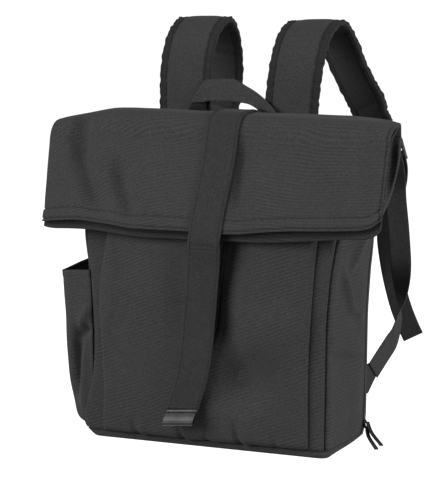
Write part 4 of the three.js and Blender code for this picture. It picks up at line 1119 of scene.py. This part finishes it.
# fall: place, yaw, share of the full thickness, half width; web and tail: place, way across
sides = {
    "right": {
        "lift": 0,
        "riseX": (57, 57, 57.5, 58, 59, 61.5, 64.5, 66.5, 68.5),
        "fall": [(71.5, 92, 471, -0.12, 1, 25), (76, 116, 463.5, -0.32, 1, 25), (84, 133, 446, -0.5, 1, 25),
                 (91.5, 144.8, 422, -0.56, 1, 25), (103, 151.6, 396.5, -0.56, 1, 25),
                 (112, 153.8, 380, -0.55, 0.9, 24.5), (121, 155, 361, -0.5, 0.65, 20),
                 (132, 155.5, 347, -0.4, 0.45, 15)],
        "buckle": (146, 153.5, 322, -0.33, 0.3),
        "web": [(152, 147, 270, 0.98, 0.16, 0), (157.5, 141.5, 234, 0.97, 0.24, 0.08),
                (161.5, 137, 204, 0.97, 0.2, 0.12), (165, 131.5, 176, 0.93, -0.25, 0.1),
                (167, 126, 152, 0.68, -0.73, 0.05), (166.5, 120.5, 130, 0.05, -0.95, 0.3)],
        "tail": [(146, 158.5, 268, 0.97, 0.12, 0), (140.5, 155, 225, 0.97, 0.2, 0),
                 (145, 152.5, 193, 0.97, 0.2, 0.1), (152, 150.5, 164, 0.97, 0.2, 0.1),
                 (161, 149, 136, 0.97, 0.2, 0), (171, 147.5, 114, 0.97, 0.15, -0.1),
                 (177, 147, 102.5, 0.97, 0.12, -0.16)],
    },
    "left": {
        "lift": 4,
        "riseX": (71.5, 71.5, 71.8, 72, 72, 71.8, 70.5, 69.5, 69),
        "fall": [(69.5, 92, 476, -0.03, 1, 25), (71, 116, 468.5, -0.03, 1, 25), (73, 137, 446, -0.03, 1, 25),
                 (75.5, 149, 420, -0.04, 1, 25), (79, 155, 394, -0.05, 1, 25),
                 (82.5, 157, 377, -0.06, 0.9, 24.5), (88, 158, 360, -0.06, 0.65, 20),
                 (94, 158.3, 347, -0.06, 0.45, 15)],
        "buckle": (101, 157.5, 322, -0.06, 0.22),
        "web": [(105, 150.5, 274, 0.97, -0.1, 0.2), (110, 146, 240, 0.95, -0.15, 0.27),
                (119, 140, 208, 0.9, -0.25, 0.35), (131, 133, 180, 0.75, -0.5, 0.45),
                (146, 127, 152, 0.5, -0.7, 0.5), (157.5, 120, 130, 0.2, -0.8, 0.55)],
        "tail": [(103, 163, 270, 1, -0.05, 0), (101, 164, 230, 1, -0.03, 0), (100, 164, 190, 1, 0, 0),
                 (100, 163, 155, 1, 0, 0), (102, 162, 126, 1, 0, 0), (103, 161, 112, 1, 0, 0)],
    },
}


def simulatePad(piece, table):
    # inflate between the sewn edges, which the pin group holds, and cap how far a point moves
    rest = np.zeros(len(piece.data.vertices) * 3)
    piece.data.vertices.foreach_get("co", rest)
    cloth = piece.modifiers.new("puff", "CLOTH")
    cloth.settings.quality = padCloth["quality"]
    cloth.settings.mass = padCloth["mass"]
    cloth.settings.tension_stiffness = padCloth["tension"]
    cloth.settings.compression_stiffness = padCloth["tension"]
    cloth.settings.shear_stiffness = padCloth["shear"]
    cloth.settings.bending_stiffness = padCloth["bending"]
    cloth.settings.use_pressure = True
    cloth.settings.uniform_pressure_force = table["pressure"]
    cloth.settings.effector_weights.gravity = 0
    cloth.settings.vertex_group_mass = "sewn"
    cloth.collision_settings.use_collision = False
    cloth.point_cache.frame_start = 1
    cloth.point_cache.frame_end = table["frames"]
    for step in range(1, table["frames"] + 1):
        scene.frame_set(step)
    puffed = piece.evaluated_get(bpy.context.evaluated_depsgraph_get())
    moved = np.zeros_like(rest)
    puffed.data.vertices.foreach_get("co", moved)
    piece.modifiers.remove(cloth)
    scene.frame_set(1)
    rest, moved = rest.reshape(-1, 3), moved.reshape(-1, 3)
    way = moved - rest
    far = np.linalg.norm(way, axis=1, keepdims=True)
    capped = rest + way * np.minimum(1, table["swell"] * mm / np.maximum(far, 1e-9))
    piece.data.vertices.foreach_set("co", capped.ravel())
    piece.data.update()
    print(piece.name, "swelled", round(float(far.max() / mm), 1), "mm before the cap")


def puffPad(piece, sewn, table):
    group = piece.vertex_groups.new(name="sewn")
    group.add([int(i) for i in sewn], 1.0, "ADD")
    simulatePad(piece, table)
    smooth = piece.modifiers.new("smooth", "SUBSURF")
    smooth.levels = smooth.render_levels = 1


def padSection():
    p = np.linspace(-1, 1, pad["across"])
    q = pad["edge"] + (1 - pad["edge"]) * (1 - p ** 4)
    return [*zip(p, -q), *zip(p[::-1], q[::-1])]


def buckleFrame(x, y, z, yaw, tilt):
    level = np.array([math.cos(yaw), math.sin(yaw), 0])
    rise = np.array([0, 0, 1.0])
    across = level * math.cos(tilt) + rise * math.sin(tilt)
    up = rise * math.cos(tilt) - level * math.sin(tilt)
    back = np.array([-math.sin(yaw), math.cos(yaw), 0])
    spot = np.array([x, y, z], float)
    return across, lambda a, u, b: spot + across * a + up * u + back * b


lock = {"wide": 32, "tall": 28, "thick": 4, "corner": 3.5, "bevel": 0.7, "rail": 2.6,
        "slots": ((-6, 0), (5, 10)), "lip": 3.0, "lipTall": 7}


def lockMesh(name, at, mirrorX):
    # bevelled plate with two slots, its lower edge turned up as a thumb lip
    curve = bpy.data.curves.new(name, "CURVE")
    curve.dimensions = "2D"
    curve.fill_mode = "BOTH"
    curve.extrude = lock["thick"] / 2 - lock["bevel"]
    curve.bevel_depth = lock["bevel"]
    curve.bevel_resolution = 2
    w, h, c = lock["wide"] / 2 - lock["bevel"], lock["tall"] / 2 - lock["bevel"], lock["corner"]
    turns = np.linspace(0, math.pi / 2, 6)
    corners = [(w - c, h - c, 0), (c - w, h - c, 1), (c - w, c - h, 2), (w - c, c - h, 3)]
    outline = [(x + c * math.cos(a + k * math.pi / 2), y + c * math.sin(a + k * math.pi / 2))
               for x, y, k in corners for a in turns]
    r = lock["wide"] / 2 - lock["rail"] + lock["bevel"]
    slots = [(low - lock["bevel"], high + lock["bevel"]) for low, high in lock["slots"]]
    holes = [[(-r, low), (r, low), (r, high), (-r, high)] for low, high in slots]
    for loop in [outline, *holes]:
        spline = curve.splines.new("POLY")
        spline.points.add(len(loop) - 1)
        for point, (x, y) in zip(spline.points, loop):
            point.co = (x, y, 0, 1)
        spline.use_cyclic_u = True
    shell = bpy.data.objects.new(name, curve)
    scene.collection.objects.link(shell)
    solid = shell.evaluated_get(bpy.context.evaluated_depsgraph_get()).to_mesh()
    points = np.array([v.co for v in solid.vertices])
    faces = [list(face.vertices)[::-1] for face in solid.polygons]
    bpy.data.objects.remove(shell)
    bpy.data.curves.remove(curve)
    lift = lock["lip"] * ease(lock["lipTall"] - h, -h, points[:, 1]) ** 1.5
    placed = [at(a, u, -b + t) for (a, u, b), t in zip(points, lift)]
    mesh = meshFrom(name, placed, faces, mirrorX=mirrorX)
    mesh.set_sharp_from_angle(angle=math.radians(50))
    return mesh


tab = {"x": 144, "y": 69.5, "thick": 1.6, "dx": 0.357, "dy": 0.934, "root": -8, "reach": (0, 3, 18),
       "low": (47, 50.7, 68.6), "high": (81, 82, 69.6), "stitchRows": (0.07, 0.93)}
web = {"half": 12.5, "thick": 0.8, "parts": 7, "clear": 0.6, "barAt": -6.4, "barTurn": 3.5, "leave": -22,
       "tongueAt": 10.4, "tongueTurn": 3.8, "endRows": (3, 8), "endHalf": 10.5}


def tabAt(reach, z, off):
    x = tab["x"] + tab["dx"] * reach + tab["dy"] * off
    return xyz(x, tab["y"] + tab["dy"] * reach - tab["dx"] * off, z)


def tabPoint(reach, across):
    low, high = (np.interp(reach, tab["reach"], tab[k]) for k in ("low", "high"))
    return tabAt(reach, mix(low, high, across), tab["thick"] / 2)


def webRows(side, across, at):
    # up from the tab, round the buckle's bar and down the free tail
    lie = tab["thick"] / 2 + web["clear"] + web["thick"]
    sewn = (-0.66 * tab["dx"], -0.66 * tab["dy"], 0.75)
    rows = [(*tabAt(reach, z, lie + more), *way) for reach, z, more, way in
            ((7, 72.5, 0, sewn), (16, 80.3, 0, sewn), (27, 90, 0.2, sewn), (38, 99.5, 0.5, sewn),
             (48, 111.5, 1, (-0.1, -0.8, 0.6)))]
    rows += side["web"][::-1]
    rows.append((*at(0, web["leave"], -web["barTurn"]), *across))
    for a in np.linspace(0, math.pi, 5):
        up, back = web["barTurn"] * math.sin(a), -web["barTurn"] * math.cos(a)
        rows.append((*at(0, web["barAt"] + up, back), *across))
    rows.append((*at(0, web["leave"], web["barTurn"]), *across))
    return rows + side["tail"]


def tongueRows(end, at):
    rows = [tuple(end)]
    for k in range(-1, 6):
        turn = min(1, max(0, k / 4)) * math.pi
        climb = 5 if k < 0 else 8 if k > 4 else 0
        up, back = climb - web["tongueTurn"] * math.sin(turn), web["tongueTurn"] * math.cos(turn)
        rows.append(tuple(at(0, web["tongueAt"] + up, back)))
    return rows


def onStrip(line, widths, side, lift):
    # a path on one face of a swept band, for its stitches
    across, out = frameAlong(line, widths)
    side, lift = (np.broadcast_to(np.asarray(s, float), len(line))[:, None] for s in (side, lift))
    return line + across * side + out * lift, out * np.sign(lift)


def strapEdges(name, line, widths, half, full, flip):
    # puckered bindings along both edges of a pad, and their stitches
    rows = []
    step = np.arange(len(line))
    for way, edgeName in ((1, "outer"), (-1, "inner")):
        slow, fast = pad["puckerBeats"]
        bumps = 0.5 * pad["pucker"] * (np.sin(slow * step + way) + np.sin(fast * step))
        shift = way * (half + pad["bindOut"] - pad["half"] - pad["bindWide"] / 2 + bumps)
        thick = pad["bindThick"] * np.minimum(1, full + 0.25) + bumps
        addStrip(f"strap_edge_{edgeName}_{name}", line, widths, pad["bindWide"] / 2, thick, bindFinish,
                 "binding", f"strap_binding_{edgeName}_{name}", shift=shift, mirrorX=flip)
        for face in (-1, 1):
            rows.append(onStrip(line, widths, shift - way * pad["stitchIn"], face * (thick * 0.86 + 0.1)))
    return rows


def tailStitches(band, widths):
    # two rows across the hemmed end of the webbing, on both faces
    rows = []
    across, out = frameAlong(band, widths)
    for back in web["endRows"]:
        path = band[-back] + np.linspace(-1, 1, 12)[:, None] * web["endHalf"] * across[-back]
        for face in (-1, 1):
            normal = out[-back] * face
            rows.append((path + normal * (web["thick"] + 0.05), np.tile(normal, (12, 1))))
    return rows


def shoulderStrap(name, side):
    flip = name == "left"
    rows = [(x, y, z + side["lift"] * ease(400, 470, z), 0.0, full, pad["half"])
            for x, (y, z, full) in zip(side["riseX"], riseRows)] + side["fall"]
    line = curveThrough([row[:3] for row in rows], pad["parts"])
    yaw, full, half = (alongRows(rows, pad["parts"], k) for k in (3, 4, 5))
    widths = xyz(np.cos(yaw), np.sin(yaw), 0 * yaw)
    height = line[:, 2]
    falling = ease(95, 120, line[:, 1])
    seam = pad["seamDeep"] * hump(height, pad["seamAt"], pad["seamWide"]) * falling
    wrinkles = pad["wrinkle"] * np.sin(height / pad["wrinkleStep"]) * falling
    wrinkles = wrinkles * hump(height, pad["wrinkleAt"], pad["wrinkleWide"])
    thick = pad["thick"] * np.maximum(full, 0.4) * (1 - seam + wrinkles)
    piece = addStrip(f"shoulder_pad_{name}", line, widths, half, thick, padFinish, "padded_cloth",
                     f"shoulder_strap_{name}", section=padSection(), mirrorX=flip)
    piece.data.materials.append(liningFinish)
    m = 2 * pad["across"]
    for face in piece.data.polygons:
        if min(v % m for v in face.vertices) >= pad["across"] - 1 and face.loop_total == 4:
            face.material_index = 1
    count = len(line)
    edges = [k * m + i for k in range(count) for i in (0, pad["across"] - 1, pad["across"], m - 1)]
    ends = [k * m + i for k in (0, 1, count - 2, count - 1) for i in range(m)]
    puffPad(piece, sorted(set(edges + ends)), pad)
    stitchRows = strapEdges(name, line, widths, half, full, flip)

    across, at = buckleFrame(*side["buckle"])
    ahead = unit(line[-1] - line[-2])
    tongue = curveThrough(tongueRows(line[-1] + ahead * 1.7, at), 6)
    tongueWide = np.tile(across, (len(tongue), 1))
    addStrip(f"tongue_{name}", tongue, tongueWide, web["half"], web["thick"], webFinish, "webbing",
             f"strap_tongue_{name}", mirrorX=flip)
    addPiece(f"buckle_{name}", lockMesh(f"buckle_{name}", at, flip), plasticFinish, "buckle_plastic",
             f"ladder_lock_{name}")
    bandRows = webRows(side, across, at)
    band = curveThrough([row[:3] for row in bandRows], web["parts"])
    bandWide = np.stack([alongRows(bandRows, web["parts"], k) for k in (3, 4, 5)], axis=-1)
    addStrip(f"adjuster_{name}", band, bandWide, web["half"], web["thick"], adjusterLitFinish, "webbing",
             f"adjuster_webbing_{name}", mirrorX=flip)
    stitchRows += tailStitches(band, bandWide)
    tabGrid = surface(tabPoint, np.linspace(tab["root"], tab["reach"][-1], 30), np.linspace(0, 1, 18))
    addSheet(f"seam_tab_{name}", tabGrid, tab["thick"], sideFinish, "body_cloth", f"anchor_tab_{name}",
             mirrorX=flip)
    for inset in tab["stitchRows"]:
        stitchRows.append(onSurface(tabGrid, np.linspace(1, 15, 20), inset, 0.1))
    stitchPiece(f"strap_stitches_{name}", stitchRows, darkThreadFinish, flip)


for sideName, sideTable in sides.items():
    shoulderStrap(sideName, sideTable)
print("shoulder straps made")

# Padded back

backPad = {"thick": 5, "sink": 0.8, "swell": 4.0, "pressure": 4.0, "frames": 20, "fill": 0.4}
backAcross = between([5.5 + seamShare, 6, 8, 8.5 - seamShare], [4, 64, 4])
backGrid = surface(bagPoint, backAcross, wallHeights[::2], lambda q, z, p: seamRoll(p) - backPad["sink"])
backPiece = addSheet("back_pad", backGrid, backPad["thick"], padFinish, "padded_cloth", "back_panel")
sewnRim = np.ones(backGrid["p"].shape[:2], bool)
sewnRim[2:-2, 2:-2] = False
puffPad(backPiece, [*np.flatnonzero(sewnRim), *range(sewnRim.size, len(backPiece.data.vertices))], backPad)
print("back made")

# Sliders of the side zip and their ribbon pulls

pulls = {
    "upper": [(157.5, 39, 10), (178, 11, 2)],
    "lower": [(155, 36, 6.5), (177, -6, 1.6)],
}
slider = {"upper": 17.7, "lower": 12.4, "out": 2.6, "wide": 7, "tall": 5, "half": 2.2, "thick": 0.7}


def sliderMesh(name, spot):
    # waisted body with a raised bridge, as rings from the zip outwards
    rings = [(0.0, 0.82, 0.9), (0.18, 1, 1), (0.4, 1, 1), (0.55, 0.8, 0.86), (0.72, 0.5, 0.8),
             (0.9, 0.42, 0.7), (1, 0.3, 0.5)]
    turn = np.arange(16) / 16 * 2 * math.pi
    square = np.maximum(np.abs(np.cos(turn)), np.abs(np.sin(turn))) ** -0.6
    made = [xyz(spot[0] + out * slider["out"], spot[1] + np.cos(turn) * square * wide * slider["wide"] / 2,
                spot[2] + np.sin(turn) * square * tall * slider["tall"] / 2) for out, wide, tall in rings]
    return ringMesh(name, made, False)


for name, rows in pulls.items():
    spot = zipPoint(0.5, slider[name]) + (2 * bag["gap"], 0, 0)
    addPiece(f"slider_{name}", sliderMesh(f"slider_{name}", spot), metalFinish, "hook_metal",
             f"zip_slider_{name}")
    ribbon = curveThrough([tuple(spot + (slider["out"] + 1, 0, 0)), *rows], 12)
    across = np.tile([0.6, 0.8, 0], (len(ribbon), 1))
    addStrip(f"pull_{name}", ribbon, across, slider["half"], slider["thick"], webFinish, "webbing",
             f"zip_pull_{name}")
print("zip pulls made")

# Camera, floor and light

shot = {"azimuth": 21.6, "elevation": 6.1, "roll": 0.42, "distance": 1.717, "target": (-0.0095, 0, 0.224),
        "focalPixels": 1514, "frameLong": 480, "sensor": 36}
camera = bpy.data.objects.new("camera", bpy.data.cameras.new("camera"))
scene.collection.objects.link(camera)
az, el = math.radians(shot["azimuth"]), math.radians(shot["elevation"])
away = Vector((math.sin(az) * math.cos(el), -math.cos(az) * math.cos(el), math.sin(el)))
camera.location = Vector(shot["target"]) + away * shot["distance"]
camera.rotation_euler = away.to_track_quat("Z", "Y").to_euler()
camera.rotation_euler.rotate_axis("Z", math.radians(shot["roll"]))
camera.data.sensor_width = shot["sensor"]
camera.data.lens = shot["focalPixels"] / shot["frameLong"] * shot["sensor"]
scene.camera = camera

studio = {"floor": 4.0, "dark": grey(0.28), "light": grey(0.3), "glow": 1.1, "sky": 0.2, "backdrop": 1.05,
          "aim": (0, 0, 0.25)}
lights = {
    "key": {"place": (-1.5, -2.1, 1.3), "size": 1.9, "power": 88.0},
    "side": {"place": (2.3, -0.32, 1.0), "size": 1.4, "power": 56.0},
}
floorCorners = np.array([(-1, -1, 0), (1, -1, 0), (1, 1, 0), (-1, 1, 0)]) * studio["floor"] / mm
floorMesh = meshFrom("floor", floorCorners, [[0, 1, 2, 3]])
floor = bpy.data.objects.new("floor", floorMesh)
scene.collection.objects.link(floor)
floorFinish, floorTree, floorShader = newFinish("pale_floor")
floorTone = addNode(floorTree, "ShaderNodeTexNoise", {"Scale": 3.0, "Detail": 2.0})
tintBetween(floorTree, floorShader, floorTone.outputs["Fac"], studio)
floorShader.inputs["Roughness"].default_value = 0.9
floorPath = addNode(floorTree, "ShaderNodeLightPath").outputs
floorSeen = calc(floorTree, "MAXIMUM", floorPath["Is Camera Ray"], floorPath["Is Glossy Ray"])
floorGlow = calc(floorTree, "MULTIPLY", floorSeen, studio["glow"])
floorTree.links.new(floorGlow, floorShader.inputs["Emission Strength"])
floorShader.inputs["Emission Color"].default_value = (1, 1, 1, 1)
floorMesh.materials.append(floorFinish)

world = bpy.data.worlds.new("studio")
scene.world = world
world.use_nodes = True
sky = world.node_tree.nodes["Background"]
sky.inputs["Color"].default_value = (1, 1, 1, 1)
seen = addNode(world.node_tree, "ShaderNodeLightPath").outputs["Is Camera Ray"]
backdrop = spread(world.node_tree, seen, 0.0, 1.0, studio["sky"], studio["backdrop"])
world.node_tree.links.new(backdrop, sky.inputs["Strength"])


def addLight(name, place, size, power):
    light = bpy.data.objects.new(name, bpy.data.lights.new(name, "AREA"))
    scene.collection.objects.link(light)
    light.data.size = size
    light.data.energy = power
    light.location = place
    aim = Vector(studio["aim"]) - light.location
    light.rotation_euler = aim.to_track_quat("-Z", "Y").to_euler()


for lightName, lamp in lights.items():
    addLight(lightName, **lamp)
scene.view_settings.view_transform = "Standard"
print("camera and light set")
